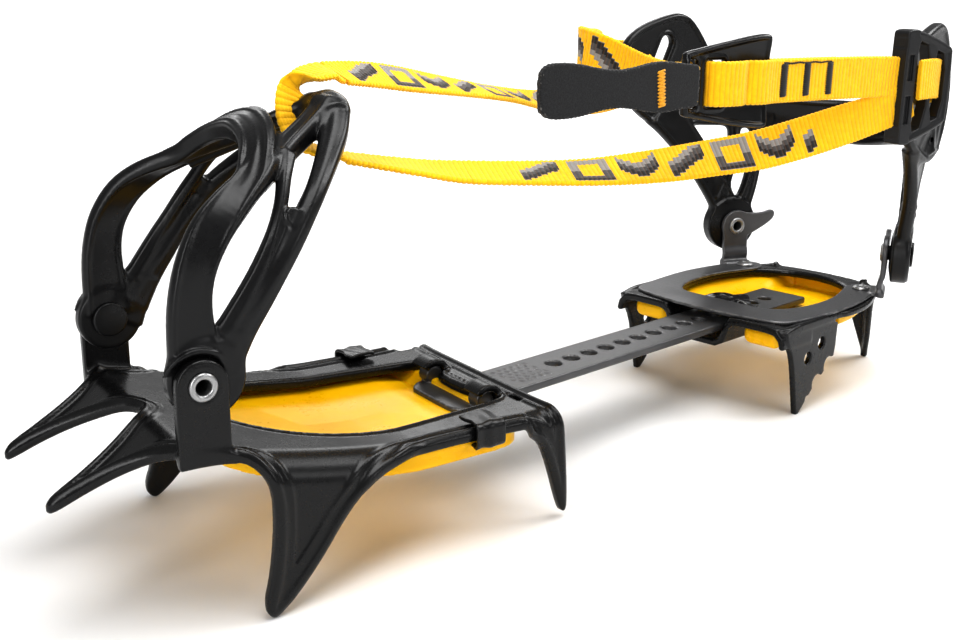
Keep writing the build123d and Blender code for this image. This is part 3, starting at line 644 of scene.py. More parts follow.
# ---- heel section, symmetric about the bar ----
LOBE, LOBE_R = (196.5, 27.5), 1.85              # the holes of the cover plate's rivets
SPIKE_HOLES, SPIKE_HOLE_R = ((141.0, -12.6), (149.9, -8.5)), 2.35
SPINDLE = (134.6, 0, -0.8)
HEEL_OUTLINE = rounded([(123.6, -12), (123.6, 33.5), (126.0, 38.0), (150, 38.3), (161.0, 38.3),
                        (167.0, 40.2), (180, 39.4), (190, 36.4), (201.0, 32.4), (208.5, 26.0),
                        (212.6, 18.0), (214.0, 8.0), (214.2, -3), (214.2, -12)], 2, (0, 13))
HEEL_OPENING = rounded([(141.5, -12), (141.5, 17.0), (145.0, 24.4), (160.0, 28.6), (178, 28.4),
                        (190.0, 25.0), (199.0, 19.0), (204.5, 9.5), (206.0, -3), (206, -12)], 2, (0, 9))
FRONT_PROFILE = [(0, -10.0), (8.6, -10.0), (11.2, -8.6), (12.3, -5.6), (13.4, -2.6), (15.6, -0.6),
                 (18.6, -0.1), (30.0, -0.1), (34.2, -0.7), (36.6, -3.0), (37.2, -5.4)]
SCALLOPS = [(156.7, -18.6, 3.3), (149.4, -24.2, 3.5), (143.0, -29.0, 1.2)]


def scallops(x, z):
    return np.minimum.reduce([np.hypot(x - a, z - b) - r for a, b, r in SCALLOPS])


HEEL_SPIKE = rounded([(124.4, 1.4), (161.0, 1.4), (160.4, -15.6), (158.0, -15.9), (152.6, -21.6),
                      (150.6, -21.6), (146.4, -25.6), (137.6, -33.6), (135.8, -33.6), (133.2, -21.5),
                      (130.6, -11.0), (126.6, -4.2)], 1, (7, 8))


def path_distance(a, b, points):
    "distance to an open line in the plane"
    best = np.full(a.shape, 1e9)
    for (ax, ay), (bx, by) in zip(points, points[1:]):
        ex, ey = bx - ax, by - ay
        t = np.clip(((a - ax) * ex + (b - ay) * ey) / (ex * ex + ey * ey), 0, 1)
        best = np.minimum(best, (a - ax - ex * t) ** 2 + (b - ay - ey * t) ** 2)
    return np.sqrt(best)


def heel_frame_field(p):
    x, y, z = p[:, 0], np.abs(p[:, 1]), p[:, 2]
    edge = polygon(x, y, HEEL_OUTLINE)
    inner = polygon(x, y, HEEL_OPENING)
    d2 = np.maximum(np.maximum(edge, -inner), np.where(x < 144, 14.2 - y, -99))
    lip = 0.7 * bump((inner - 1.4) / 1.6) * ease(x, 143, 152)
    deck = plate(d2, np.maximum(z - 0.95 - lip, -z - 1.15), 0.5)
    wall = path_distance(y, z, FRONT_PROFILE) - 1.1
    trough = plate(np.maximum(np.abs(x - 132.7) - 9.1, y - 38.4), wall, 0.4)
    spike = plate(smooth_max(polygon(x, z, HEEL_SPIKE), -scallops(x, z), 0.3), np.abs(y - 37.2) - 1.1, 0.35)
    d = smooth_min(smooth_min(deck, trough, 1.0), spike, 1.4)
    for hx, hz in SPIKE_HOLES:
        d = np.maximum(d, np.minimum(SPIKE_HOLE_R - np.hypot(x - hx, z - hz), y - 30))
    return np.maximum(d, LOBE_R - np.hypot(x - LOBE[0], y - LOBE[1]))


REAR_POINT = [(207.5, 24.6, 0.2), (210.6, 23.0, -9.0), (216.4, 21.0, -22.0), (220.6, 19.2, -32.6)]
REAR_FLANGE = [(209.6, 19.4, 0.0), (212.4, 18.0, -9.0), (217.4, 18.2, -22.0), (220.8, 18.6, -31.0)]


def rear_shape(s, u, v, w, tt, du, dv):
    rib = 0.75 * bump((np.abs(u) - w / 2 + 1.1) / 1.0) + 0.7 * bump(u / 0.9)
    return du, dv - rib * (1 - s * 0.5) + 0.45


def make_heel_frame(material):
    point = sweep(REAR_POINT, [(0.66, -0.75, 0)] * 4, [12.0, 9.6, 6.0, 2.8], [2.4] * 4, 0.5, rear_shape, 6)
    flange = sweep(REAR_FLANGE, [(-0.75, -0.66, 0)] * 4, [8.0, 6.4, 3.6, 1.6], [2.0] * 4, 0.5, None, 6)
    points = mirrored(union([point, flange], 0.8))

    def field(p):
        return smooth_min(heel_frame_field(p), points(p), 1.5)
    obj = solid("heel_frame_pressed", field, (122, -42, -35), (225, 42, 3), 0.5, material)
    belong(obj, "heel", "heel_frame")


COVER = rounded([(124.4, -12), (124.6, 8), (126.0, 20.0), (128.6, 31.0), (132.0, 35.4), (150.0, 37.6),
                 (166.0, 38.6), (180.0, 37.2), (196.0, 33.8), (202.4, 31.6), (204.8, 27.0), (202.0, 22.2),
                 (196.4, 20.6), (189.0, 23.2), (178, 26.6), (166.0, 27.8), (152.0, 26.2), (143.4, 21.8),
                 (140.6, 17.0), (140.4, 8), (140.4, -12)], 2, (0, 20))
EAR = np.array([199.0, 36.0, 18.0])
EAR_TURN = math.radians(25.0)
EAR_TAB = rounded([(-2, 6.2), (6, 5.4), (12.4, 5.0), (17.6, 6.6), (18.8, 4.4), (17.4, 1.6), (8.6, -3.4),
                   (2, -5.6)], 2)


def at_ear(p):
    "points in the frame of the near or far heel pivot, outward along +Y"
    q = np.stack([p[:, 0], np.abs(p[:, 1]), p[:, 2]], 1) - EAR
    c, s = math.cos(EAR_TURN), math.sin(EAR_TURN)
    return np.stack([q[:, 0] * c - q[:, 1] * s, q[:, 0] * s + q[:, 1] * c, q[:, 2]], 1)


def cover_field(p):
    x, y, z = p[:, 0], np.abs(p[:, 1]), p[:, 2]
    d = plate(polygon(x, y, COVER), np.abs(z - 1.6 - 0.25 * bump(y / 30) * bump((x - 132) / 9)) - 0.6, 0.3)
    d = np.maximum(d, LOBE_R - np.hypot(x - LOBE[0], y - LOBE[1]))
    q = at_ear(p)
    a, b, c = q[:, 0], q[:, 1], q[:, 2]
    blade = np.where(c > 0, np.hypot(a, c) - 6.6, np.abs(a) - 5.8 - 0.8 * ease(c, -5, 0))
    blade = np.maximum(blade, -17.2 - c)
    tab = polygon(a, c, EAR_TAB)
    ear = plate(smooth_min(blade, tab, 1.5), np.abs(b + 1.0 + 0.9 * bump((c + 12.5) / 4.0)) - 1.0, 0.4)
    foot = plate(np.maximum(np.abs(a) - 5.8, np.abs(b + 2.8) - 2.8), np.abs(c + 15.9) - 0.9, 0.4)
    ear = smooth_min(ear, foot, 1.4)
    ear = np.maximum(ear, BORE - np.hypot(a, c))
    return smooth_min(d, ear, 0.8)


def make_cover(material):
    obj = solid("heel_cover_pressed", cover_field, (123, -46, 0.5), (218, 46, 26), 0.42, material)
    belong(obj, "heel", "heel_cover_plate")


SNOW_HEEL = rounded([(143.5, -12), (143.5, 33.6), (166.0, 37.0), (186.0, 33.6), (199.0, 26.4), (208.6, 18.6),
                     (212.8, 11.0), (213.4, -3), (213.4, -12)], 2, (0, 8))


def snow_heel_field(p):
    x, y, z = p[:, 0], np.abs(p[:, 1]), p[:, 2]
    edge = polygon(x, y, SNOW_HEEL)
    side = ease(y, 11.5, 17.0)
    level = -7.4 + 0.02 * np.abs(x - 180) * ease(-edge, 4, 9) + 4.2 * side * ease(-edge, 15, 4)
    floor = plate(edge, np.abs(z - level) - 1.0, 0.5)
    rim = plate(np.maximum(edge, -edge - 1.6), np.maximum(z + 1.3, -8.4 + 3.8 * side - z), 0.4)
    d = smooth_min(floor, rim, 1.6)
    reach = np.stack([np.abs(x - 136.5) - 6.0, np.abs(y - 25.4) - 4.6, np.abs(z + 4.9) - 0.6], 1)
    lobe = np.linalg.norm(np.maximum(reach, 0), axis=1) + np.minimum(reach.max(1), 0) - 3.0
    d = smooth_min(d, lobe, 1.0)
    front = np.maximum(x - 147.5, y - 14.5)
    bar_way = np.maximum(np.maximum(y - 11.0, np.abs(z + 3.9) - 2.3), x - 211.5)
    point = 25.9 - (0.75 * (x - 190) + 0.66 * (y - 4.4))
    blade = np.maximum(np.abs(x - 146) - 18.0, 34.6 - y)
    return np.maximum.reduce([d, -front, -bar_way, -point, -blade, z + 1.3])


def make_snow_heel(material):
    obj = solid("heel_snow_plate_moulded", snow_heel_field, (127, -38, -11), (222, 38, 0), 0.55, material)
    belong(obj, "heel", "heel_snow_plate")


LATCHED_X = HOLE_X + 12 * HOLE_PITCH            # the hole that the latch's nose is in
LEVER = rounded([(134.0, -8.4), (138.0, -12.4), (144.6, -13.6), (148.4, -11.6), (149.4, -5.6),
                 (153.8, -4.0), (157.0, -0.5), (154.0, 3.0), (154.6, 8.6), (148.0, 12.4), (141.0, 11.4),
                 (134.0, 8.4)], 2)


def latch_field(p):
    x, y, z = p[:, 0], p[:, 1], p[:, 2]
    fold = 0.6 * np.sin(y * 0.55 + 0.4) * np.sin(x * 0.33) + 0.3 * np.sin(y * 0.8 + x * 0.5)
    level = SPINDLE[2] + ease(x, 141.0, 146.0) + np.clip(fold, -0.6, 0.8) * ease(x, 141, 147)
    level = level + 0.5 * ease(x, 151, 157)
    pad = plate(polygon(x, y, LEVER), np.abs(z - level) - 0.55, 0.25)
    slots = np.minimum(np.hypot(np.maximum(np.abs(y - 5.2) - 1.6, 0), x - 150.4) - 0.9,
                       np.hypot(np.maximum(np.abs(y + 6.4) - 1.6, 0), x - 145.6) - 0.9)
    pad = np.maximum(pad, -slots)
    eye = plate(np.abs(np.hypot(x - SPINDLE[0], z - SPINDLE[2]) - 1.15) - 0.35, np.abs(y) - 8.0, 0.1)
    nose = plate(np.hypot(x - LATCHED_X, y) - 2.2, np.abs(z + 1.2) - 1.2, 0.3)
    return smooth_min(smooth_min(pad, eye, 0.8), nose, 0.6)


def make_latch(material):
    obj = solid("latch_lever_stamped", latch_field, (132, -14, -4), (166, 14, 3.5), 0.3, material)
    belong(obj, "latch", "latch_lever")


# ---- heel cage ----
ROCK_BORE = 3.8                 # the cage rocks on rivets that lean by EAR_TURN, so its holes are wide
WING_AT, WING_TURN = (176.0, 56.4), math.radians(-10.0)
WING = rounded([(151.0, 71.0), (144.6, 84.0), (146.6, 95.6), (156.0, 102.4), (170, 106.4), (178.0, 107.6),
                (186.0, 104.0), (199.0, 86.0), (197.0, 69.0), (188.0, 60.5), (178.0, 57), (164.0, 62.0)], 2)


def wing_field(p):
    c, s = math.cos(WING_TURN), math.sin(WING_TURN)
    qx, qy = p[:, 0] - WING_AT[0], p[:, 1] - WING_AT[1]
    x, y, z = qx * c + qy * s + WING_AT[0], -qx * s + qy * c, p[:, 2]
    y = y + 0.0022 * (x - 172) ** 2 * 0.6
    edge = polygon(x, z, WING)
    dx, dz = x - 167.0, z - 88.0
    u, v = dx * 0.906 - dz * 0.423, dx * 0.423 + dz * 0.906
    slot = np.hypot(u, np.maximum(np.abs(v) - 8.0, 0)) - 3.2
    lower = polygon(x, z, [(176, 66), (183, 79), (188.5, 72), (184, 65)]) - 1.0
    half = 1.5 + 0.75 * bump((-edge - 1.3) / 1.5) + 0.6 * bump((slot - 1.2) / 1.2)
    return plate(np.maximum(np.maximum(edge, -slot), -lower), np.abs(y) - half, 0.8)


def leg_shape(s, u, v, w, tt, du, dv):
    return du, dv - 0.6 * bump((np.abs(u) - w / 2 + 1.3) / 1.3) + 0.35 * bump(u / (w * 0.3))


def heel_cage_field():
    out = (math.cos(EAR_TURN), -math.sin(EAR_TURN), 0)
    fore = sweep([(201.0, 40.4, 20.0), (196.0, 43.4, 31.0), (188.6, 47.8, 44.0), (180.0, 52.2, 56.0),
                  (170.0, 56.6, 68.0)], [out, out, out, (1, -0.3, 0), (1, -0.2, 0)],
                 [13, 12, 12.5, 14.0, 17.0], [4.0] * 5, 1.4, leg_shape, 5)
    aft = sweep([(204.0, 39.0, 20.0), (208.6, 36.8, 34.0), (210.6, 35.8, 48.0), (212.0, 35.0, 64.0)],
                [out] * 4, [9.0, 6.6, 6.6, 10.0], [4.0] * 4, 1.4, leg_shape, 5)
    brace = sweep([(196.0, 43.6, 30.0), (201.5, 41.6, 46.0), (203.0, 42.6, 62.0)], [out] * 3,
                  [7.0, 4.6, 6.0], [3.4] * 3, 1.2, leg_shape, 5)
    band = sweep([(178.0, 57.2, 71.0), (190.0, 52.0, 69.6), (202.0, 44.6, 68.0), (213.0, 33.8, 66.2),
                  (222.4, 21.6, 64.6), (228.5, 10.0, 63.6), (230.3, 0, 63.2), (228.5, -10, 63.6)],
                 [(0, 0, 1)] * 8, [19, 18.0, 16.0, 15.0, 15.0, 17.0, 18.0, 17.0], [4.0] * 8, 1.5,
                 leg_shape, 5)
    wing = local(wing_field, (140, 46, 54), (203, 66, 110))
    body = union([fore, aft, brace, band, wing], 2.6)

    def field(p):
        d = body(p)
        q = at_ear(p)
        r = np.hypot(q[:, 0], q[:, 2])
        inner = 0.65 + 1.05 * ease(r, 5, 11.6)
        boss = plate(r - 11.4, np.maximum(q[:, 1] - 7.7, inner - q[:, 1]), 0.8)
        lip = plate(np.abs(r - 9.6) - 1.2, np.abs(q[:, 1] - 7.2) - 1.2, 0.6)
        d = smooth_min(smooth_min(d, boss, 2.0), lip, 0.6)
        clear = np.maximum(r - 13.0, q[:, 1] - inner)
        return np.maximum(np.maximum(d, -clear), ROCK_BORE - r)
    return mirrored(field)


def make_heel_cage(material):
    obj = solid("heel_cage_moulded", heel_cage_field(), (139, -68, 5), (235, 68, 110), 0.55, material)
    belong(obj, "heel_cage", "heel_cage")


# ---- rivets: turned profiles ----
def lathe(name, profile, origin, axis, material, front=False, around=56):
    "a turned piece; profile is (along, radius) pairs that close on the axis or on themselves"
    a = np.array(axis, float) / np.linalg.norm(axis)
    u = np.cross(a, (0, 0, 1.0) if abs(a[2]) < 0.9 else (1.0, 0, 0))
    u /= np.linalg.norm(u)
    w = np.cross(a, u)
    rings, quads, n = [], [], len(profile)
    for k in range(around):
        t = 2 * math.pi * k / around
        for h, r in profile:
            rings.append(np.array(origin) + a * h + (u * math.cos(t) + w * math.sin(t)) * r)
    for k in range(around):
        for i in range(n):
            j, m = (i + 1) % n, (k + 1) % around
            quads.append((k * n + i, m * n + i, m * n + j, k * n + j))
    return make_mesh(name, to_row(rings, front), np.array(quads), material)


def tube_profile(start, end, head=3.6, shank=2.85, hole=1.9):
    "a tube rivet with a rolled head at its end"
    roll = [(end + 0.1 + 0.75 * math.sin(t), (head + hole) / 2 + (head - hole) / 2 * math.cos(t))
            for t in [math.pi * i / 10 for i in range(11)]]
    return [(start, hole), (start, shank), (end, shank), (end, head)] + roll


def button_profile(start, radius=4.8):
    "the closed button at the rivet's inner end"
    return [(start - 0.9, 0.02), (start - 0.9, 0.3), (start - 0.9, radius - 0.7),
            (start - 0.85, radius - 0.35), (start - 0.7, radius - 0.1), (start - 0.4, radius),
            (start, radius), (start, 1.88), (start + 0.8, 1.88), (start + 0.8, 0.02)]


def make_rivets(silver, black):
    toe = (("tube_", tube_profile(29.8, 38.0), silver), ("button_", button_profile(29.8), black))
    heel = (("tube_", tube_profile(-8.5, 2.0), silver), ("button_", button_profile(-8.5), black))
    for side, where in SIDES:
        for kind, profile, finish in toe:
            place, axis = (-POST_X, 0, POST_Z), (0, side, 0)
            rivet = lathe("toe_rivet_" + kind + where, profile, place, axis, finish, True)
            belong(rivet, "front", "toe_rivet_" + where)
        for kind, profile, finish in heel:
            place = (EAR[0], side * EAR[1], EAR[2])
            axis = (math.sin(EAR_TURN), side * math.cos(EAR_TURN), 0)
            inward = [(-h, r) for h, r in profile]
            rivet = lathe("heel_rivet_" + kind + where, inward, place, axis, finish)
            belong(rivet, "heel", "heel_rivet_" + where)
    dome = [(-2.9, 0.02), (-2.9, 2.4), (-2.6, 2.8), (-2.2, 2.8), (-2.2, 1.8), (1.2, 1.8), (1.2, 3.5),
            (1.5, 3.6), (2.0, 3.1), (2.5, 2.2), (2.4, 1.4), (2.0, 1.1), (2.0, 0.3), (2.0, 0.02)]
    for side, where in SIDES:
        place = (LOBE[0], side * LOBE[1], 0.0)
        rivet = lathe("cover_rivet_domed_" + where, [(h + 1.0, r) for h, r in dome], place, (0, 0, 1), silver)
        belong(rivet, "heel", "cover_plate_rivets")
    spindle = [(-11.1, 0.02), (-11.1, 0.6), (-11.0, 0.7), (11.0, 0.7), (11.1, 0.6), (11.1, 0.02)]
    pin = lathe("latch_spindle_turned", spindle, SPINDLE, (0, 1, 0), silver, False, 24)
    belong(pin, "heel", "latch_spindle")


# ---- webbing: ribbons with transverse ribs and a woven block motif ----
RIB = 1.5
STRAP_W, STRAP_T = 13.0, 1.5


def motif(along, across, offset):
    "woven blocks in stepped rows: 0 plain, 1 light, 2 mid, 3 dark"
    a = along - offset
    kind = np.floor(a / 16.0) % 3
    a = np.floor((a % 16.0) / 0.75) * 0.75
    row = np.floor(across + 5.0)
    slant = row - np.floor(np.where(kind == 2, np.abs(a - 6.0), a) / 1.9) + np.where(kind == 0, 1, 0)
    block = (a < 12.4) & (row >= 0) & (row <= 9)
    value = np.zeros(along.shape)
    ring = (kind == 1) & ((a < 2.6) | (a > 9.6) | (row > 7) | (row < 2))
    bars = (kind != 1) & (slant > 2) & (slant <= 6)
    value[block & (bars | ring)] = 1
    value[block & (bars & (slant <= 4) | ring & (row < 5))] = 2
    value[block & ((kind != 1) & (slant > 0) & (slant <= 2) | ring & (row < 1))] = 3
    value[along < offset] = 0
    return value


def even_curve(points, across, step):
    c, a = curve(points, 12), curve(across, 12)
    run = np.concatenate([[0], np.cumsum(np.linalg.norm(np.diff(c, axis=0), axis=1))])
    n = int(run[-1] / step) + 1
    s = np.linspace(0, run[-1], n)
    c = np.stack([np.interp(s, run, c[:, i]) for i in range(3)], 1)
    a = np.stack([np.interp(s, run, a[:, i]) for i in range(3)], 1)
    t = np.gradient(c, axis=0)
    t /= np.linalg.norm(t, axis=1)[:, None]
    a -= t * (a * t).sum(1)[:, None]
    a /= np.linalg.norm(a, axis=1)[:, None]
    return s, c, a, np.cross(t, a)


def ribbon(name, points, material, across=None, pattern=None, width=None, cuts=(), thick=STRAP_T, side=1):
    """webbing pieces along a path in the working frame. across is the direction of the width, upright
    if it isn't given. pattern is where the motif starts and ends in mm, cuts are where the ribbon is
    divided, and side tells which way up the motif is"""
    s, c, a, n = even_curve(points, across or [(0, 0, 1)] * len(points), 0.16)
    w = np.full(len(s), STRAP_W) if width is None else np.interp(s, np.linspace(0, s[-1], len(width)), width)
    lat = np.linspace(-1, 1, 25)
    rib = np.abs(np.sin(math.pi * s / RIB)) ** 0.7
    objs, rings = [], []
    for face in (1, -1):
        for q in (lat if face > 0 else lat[::-1]):
            twill = 0.05 * np.sin(q * 27 + 2.1 * np.floor(s / RIB)) * (abs(q) < 0.96)
            edge = math.sqrt(max(0.0, 1 - max(0.0, (abs(q) - 0.93) / 0.07) ** 2))
            hem = 0.08 * bump(np.array((abs(q) - 0.93) / 0.07))
            height = (thick / 2 - 0.2 + 0.24 * rib + twill + hem) * max(edge, 0.12)
            half = w / 2 - 0.2 + 0.2 * rib
            cup = 0.12 * (q * q - 0.3)
            rings.append(c + a * (q * half)[:, None] + n * (face * height + cup)[:, None])
    ring = np.stack(rings, 1)
    m = ring.shape[1]
    value = np.zeros((len(s), m))
    if pattern:
        us = np.concatenate([lat, lat[::-1]]) * STRAP_W / 2
        grid_s, grid_u = np.meshgrid(s, us, indexing="ij")
        value = motif(grid_s, grid_u * side, pattern[0])
        value[grid_s > pattern[1]] = 0
    stops = [0.0] + list(cuts) + [s[-1]]
    for k in range(len(stops) - 1):
        lo, hi = np.searchsorted(s, stops[k]), np.searchsorted(s, stops[k + 1])
        hi = min(hi, len(s) - 1)
        obj = skin(name + ("_" + str(k + 1) if cuts else ""), ring[lo:hi + 1], material)
        point_values(obj, "motif", value[lo:hi + 1].reshape(-1))
        point_values(obj, "run", np.repeat(s[lo:hi + 1], m))
        objs.append(obj)
    return objs, s, c


def skin(name, rings, material):
    "a closed mesh over rows of rings, with flat ends"
    rows, m = rings.shape[:2]
    i, j = np.meshgrid(np.arange(rows - 1), np.arange(m), indexing="ij")
    a, b = i * m + j, i * m + (j + 1) % m
    quads = np.stack([a, b, b + m, a + m], -1).reshape(-1, 4)
    obj = make_mesh(name, to_row(rings.reshape(-1, 3)), quads, material)
    bm = bmesh.new()
    bm.from_mesh(obj.data)
    bm.verts.ensure_lookup_table()
    for cap in (range(m - 1, -1, -1), range((rows - 1) * m, rows * m)):
        bm.faces.new([bm.verts[k] for k in cap])
    bmesh.ops.recalc_face_normals(bm, faces=bm.faces)
    for face in bm.faces:
        face.smooth = len(face.verts) == 4
    bm.to_mesh(obj.data)
    bm.free()
    return obj


def blend_pieces(objs, c, s, marks_at):
    """each piece of a long strand has its placement baked into its mesh; the points at its two marks are
    worked out but not used
    """
    pairs = [("toe_cage", "front"), ("front", "bar"), ("bar", "heel"), ("heel", "heel_cage")]
    for obj, (lo, hi), (a, b) in zip(objs, marks_at, pairs):
        start, end = (to_row(c[min(np.searchsorted(s, v), len(s) - 1)])[0] for v in (lo, hi))
        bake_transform(obj)
        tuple(start)
        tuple(end)


def make_strands(material):
    outer = [(-36.0, 8.0, 72.6), (-20, -0.4, 69.6), (-6.0, -7.3, 67.4), (14, -17.0, 66.2),
             (32.0, -25.7, 65.8), (50, -33.6, 66.6), (65.0, -40.3, 68.1), (82, -47.4, 70.0),
             (96.7, -53.8, 73.2), (110, -59.4, 76.6), (121.0, -63.6, 79.4), (130, -66.6, 82.0),
             (138.6, -68.2, 84.4)]
    dirs = [(0.1, 1, 0.1), (0, 1, 0.2), (0, 1, 0.32), (0, 1, 0.36), (0, 1, 0.45), (0, 1, 0.7), (0, 1, 0.95),
            (0, 0.7, 1), (0, 0.45, 1), (0, 0.2, 1), (0, 0, 1), (0, 0, 1), (0, 0, 1)]
    objs, s, c = ribbon("strand_outer", outer, material, dirs, (52, 152), cuts=(36, 86, 136))
    blend_pieces(objs, c, s, [(4, 34), (40, 82), (90, 132), (138, 168)])
    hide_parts("strap_outer_strand")
    inner = [(-30.0, 19.0, 94.4), (-16, 21.4, 93.2), (-2.5, 22.9, 91.4), (22, 26.6, 87.6),
             (48.0, 31.0, 83.4), (74, 38.0, 79.0), (100.0, 46.0, 76.2), (122, 50.6, 76.6),
             (140.0, 52.6, 79.0), (151.0, 54.6, 82.0), (161, 56.6, 85.0)]
    dirs = [(0, 1, 0.4), (0, 1, 0.55), (0, 1, 0.6), (0, 1, 0.4), (0, 1, 0.3), (0, 1, 0.5), (0, 1, 0.8),
            (0, 0.6, 1), (0, 0.2, 1), (0, 0, 1), (0, 0, 1)]
    objs, s, c = ribbon("strand_inner", inner, material, dirs, (6, 120), cuts=(34, 84, 136))
    blend_pieces(objs, c, s, [(3, 32), (38, 80), (88, 132), (140, 168)])
    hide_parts("strap_inner_strand")
    loop = to_working([(-34.0, 1.0, 72.9), (-40.0, 1.0, 73.9), (-45.4, 1.6, 75.6), (-49.2, 2.6, 79.2),
                       (-50.4, 4.0, 84.2), (-48.8, 6.0, 89.8), (-44.0, 9.2, 93.6), (-37.0, 12.0, 95.0),
                       (-28.0, 14.6, 94.8)])
    loop[0], loop[-1] = outer[0], inner[0]
    dirs = [(0.1, 1, 0.1), (0.1, 1, 0.1), (0.4, 1, 0.2), (0.9, 0.5, 0.3), (1, 0.1, 0.3), (1, 0.1, 0.4),
            (0.6, 0.9, 0.3), (0.15, 1, 0.2), (0, 1, 0.4)]
    width = [13, 12, 10.5, 9.5, 9.5, 9.5, 11, 12.6, 13]
    objs, s, c = ribbon("strap_toe_loop_woven", loop, material, dirs, width=width)
    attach(objs[0], "toe_cage")
    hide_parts("strap_toe_loop")


# ---- the straps behind, which hang on the buckle and the slider ----
BUCKLE = np.array([59.5, -50.2, 92.0])
BUCKLE_TURN = math.radians(-13.0)
SLIDER = np.array([142.5, -69.0, 88.0])
SLIDER_TURN = math.radians(-10.0)


def placed(points, at, turn):
    p = np.array(points, float)
    c, s = math.cos(turn), math.sin(turn)
    return np.stack([p[:, 0] * c - p[:, 1] * s, p[:, 0] * s + p[:, 1] * c, p[:, 2]], 1) + at


def unplaced(p, at, turn):
    q = p - at
    c, s = math.cos(turn), math.sin(turn)
    return np.stack([q[:, 0] * c + q[:, 1] * s, -q[:, 0] * s + q[:, 1] * c, q[:, 2]], 1)


def solid_at(name, field, lo, hi, h, material, at, turn):
    "a mesh from a field whose box, lo to hi, stands turned at a place"
    box = np.array([lo, hi], float)
    corners = placed([[box[i, 0], box[j, 1], box[k, 2]] for i, j, k in CORNERS], at, turn)
    return solid(name, field, corners.min(0), corners.max(0), h, material)


def make_ankle_strap(material):
    path = [(167.0, 61.5, 88.6), (160.0, 66.2, 89.6), (143.0, 66.6, 91.0), (128, 56.0, 93.6),
            (114.0, 44.6, 95.6), (98, 33, 97.0), (86.0, 25.0, 97.6), (76, 18.4, 98.4), (66.5, 12.0, 99.2),
            (59.6, 6.0, 99.4), (57.6, -2.0, 98.0), (58.6, -10, 95.4), (56.6, -22.0, 92.4),
            (52.6, -33.0, 91.2), (48.8, -41.5, 91.4), (47.6, -46.4, 92.0)]
    objs, s, c = ribbon("ankle_strap_woven", path, material, None, (88, 150), cuts=(140,), side=-1)
    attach(objs[0], "heel_cage")
    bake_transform(objs[1], "heel_cage", "buckle", to_row(c[np.searchsorted(s, 142)])[0], to_row(c[-10])[0])
    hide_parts("ankle_strap")
    wrap = [(136, -71.4, 90.4), (142.0, -71.8, 90.6), (148.0, -71.2, 90.4), (153.5, -69.6, 89.8),
            (157.6, -66.6, 88.6), (158.6, -62.6, 87.2), (156.4, -59.6, 86.0), (150, -60.2, 84.6),
            (143.0, -63.6, 84.2), (136.0, -66.0, 83.6)]
    objs, s, c = ribbon("strap_wing_loop", wrap, material)
    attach(objs[0], "heel_cage")


def make_buckle_strap(webbing, dark_thread):
    path = [(-7.0, 2.0, 0), (-7.2, -0.6, 0), (-5.8, -2.9, 0), (-1.6, -3.9, 0), (3.0, -3.6, 0),
            (5.2, -2.2, 0), (6.6, -2.3, 0), (9.0, -3.4, 0), (12.6, -3.4, 0), (16.4, -2.3, 0), (21, -1.6, 0),
            (30, -1.3, 0), (44, -1.0, 0), (60, -0.4, -0.2), (72, 0.0, -0.6), (79.5, -0.6, -1.2)]
    objs, s, c = ribbon("buckle_strap_woven", placed(path, BUCKLE, BUCKLE_TURN), webbing, cuts=(34,))
    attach(objs[0], "buckle")
    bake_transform(objs[1], "buckle", "heel_cage", to_row(c[np.searchsorted(s, 38)])[0], to_row(c[-20])[0])
    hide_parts("buckle_strap")
    layer = [(8.0, 1.4, 0), (16, 0.9, 0), (30, 0.6, 0), (42, 0.5, 0), (44.6, 0.5, 0)]
    objs, s, c = ribbon("buckle_strap_under", placed(layer, BUCKLE, BUCKLE_TURN), webbing)
    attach(objs[0], "buckle")
    for k, x in enumerate((20.6, 30.4, 40.2)):
        bar = [(x, -2.45 + 0.035 * (x - 20), z) for z in np.linspace(4.9, -4.4, 30)]
        stitches("bartack_" + str(k + 1), bar, 1.15, dark_thread, "buckle", 0.42)
    seam = [(x, -2.5 + 0.035 * (x - 20), 5.2 + 0.12 * math.sin(x)) for x in np.linspace(20.2, 40.8, 44)]
    stitches("bartack_link", seam, 0.16, dark_thread, "buckle", 0.2)


def stitches(name, path, swing, material, body, radius):
    "one thread that zigzags along a path in the buckle's frame"
    p = np.array(path, float)
    t = np.gradient(p, axis=0)
    t /= np.linalg.norm(t, axis=1)[:, None]
    side = np.cross(t, (0, 1, 0))
    z = np.where(np.arange(len(p)) % 2 == 0, 1, -1)[:, None]
    knots = p + side * swing * z
    dense = curve(knots, 4)
    dense[:, 1] += 0.16 * np.cos(np.arange(len(dense)) * math.pi / 2)
    obj = tube(name, placed(dense, BUCKLE, BUCKLE_TURN), radius, material)
    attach(obj, body)


def tube(name, line, radius, material, around=8):
    "a round thread along a line; the slanted vector is never in line with one of the threads"
    c = np.array(line, float)
    t = np.gradient(c, axis=0)
    t /= np.maximum(np.linalg.norm(t, axis=1), 1e-9)[:, None]
    u = np.cross(t, np.array((0.31, 0.87, 0.38)))
    u /= np.linalg.norm(u, axis=1)[:, None]
    w = np.cross(t, u)
    ang = np.arange(around) * 2 * math.pi / around
    turn = u[:, None, :] * np.cos(ang)[None, :, None] + w[:, None, :] * np.sin(ang)[None, :, None]
    return skin(name, c[:, None, :] + radius * turn, material)


# ---- buckle, pull tab and slider; the first points of an outline are its upper half ----
BUCKLE_TOP = [(-16.2, 8.0), (-15.4, 9.2), (-9.0, 10.2), (-1, 11.8), (8, 13.2), (15.0, 13.9), (16.6, 12.6)]
BUCKLE_OUTLINE = rounded(BUCKLE_TOP + [(16.8, 0)] + under(BUCKLE_TOP), 2)


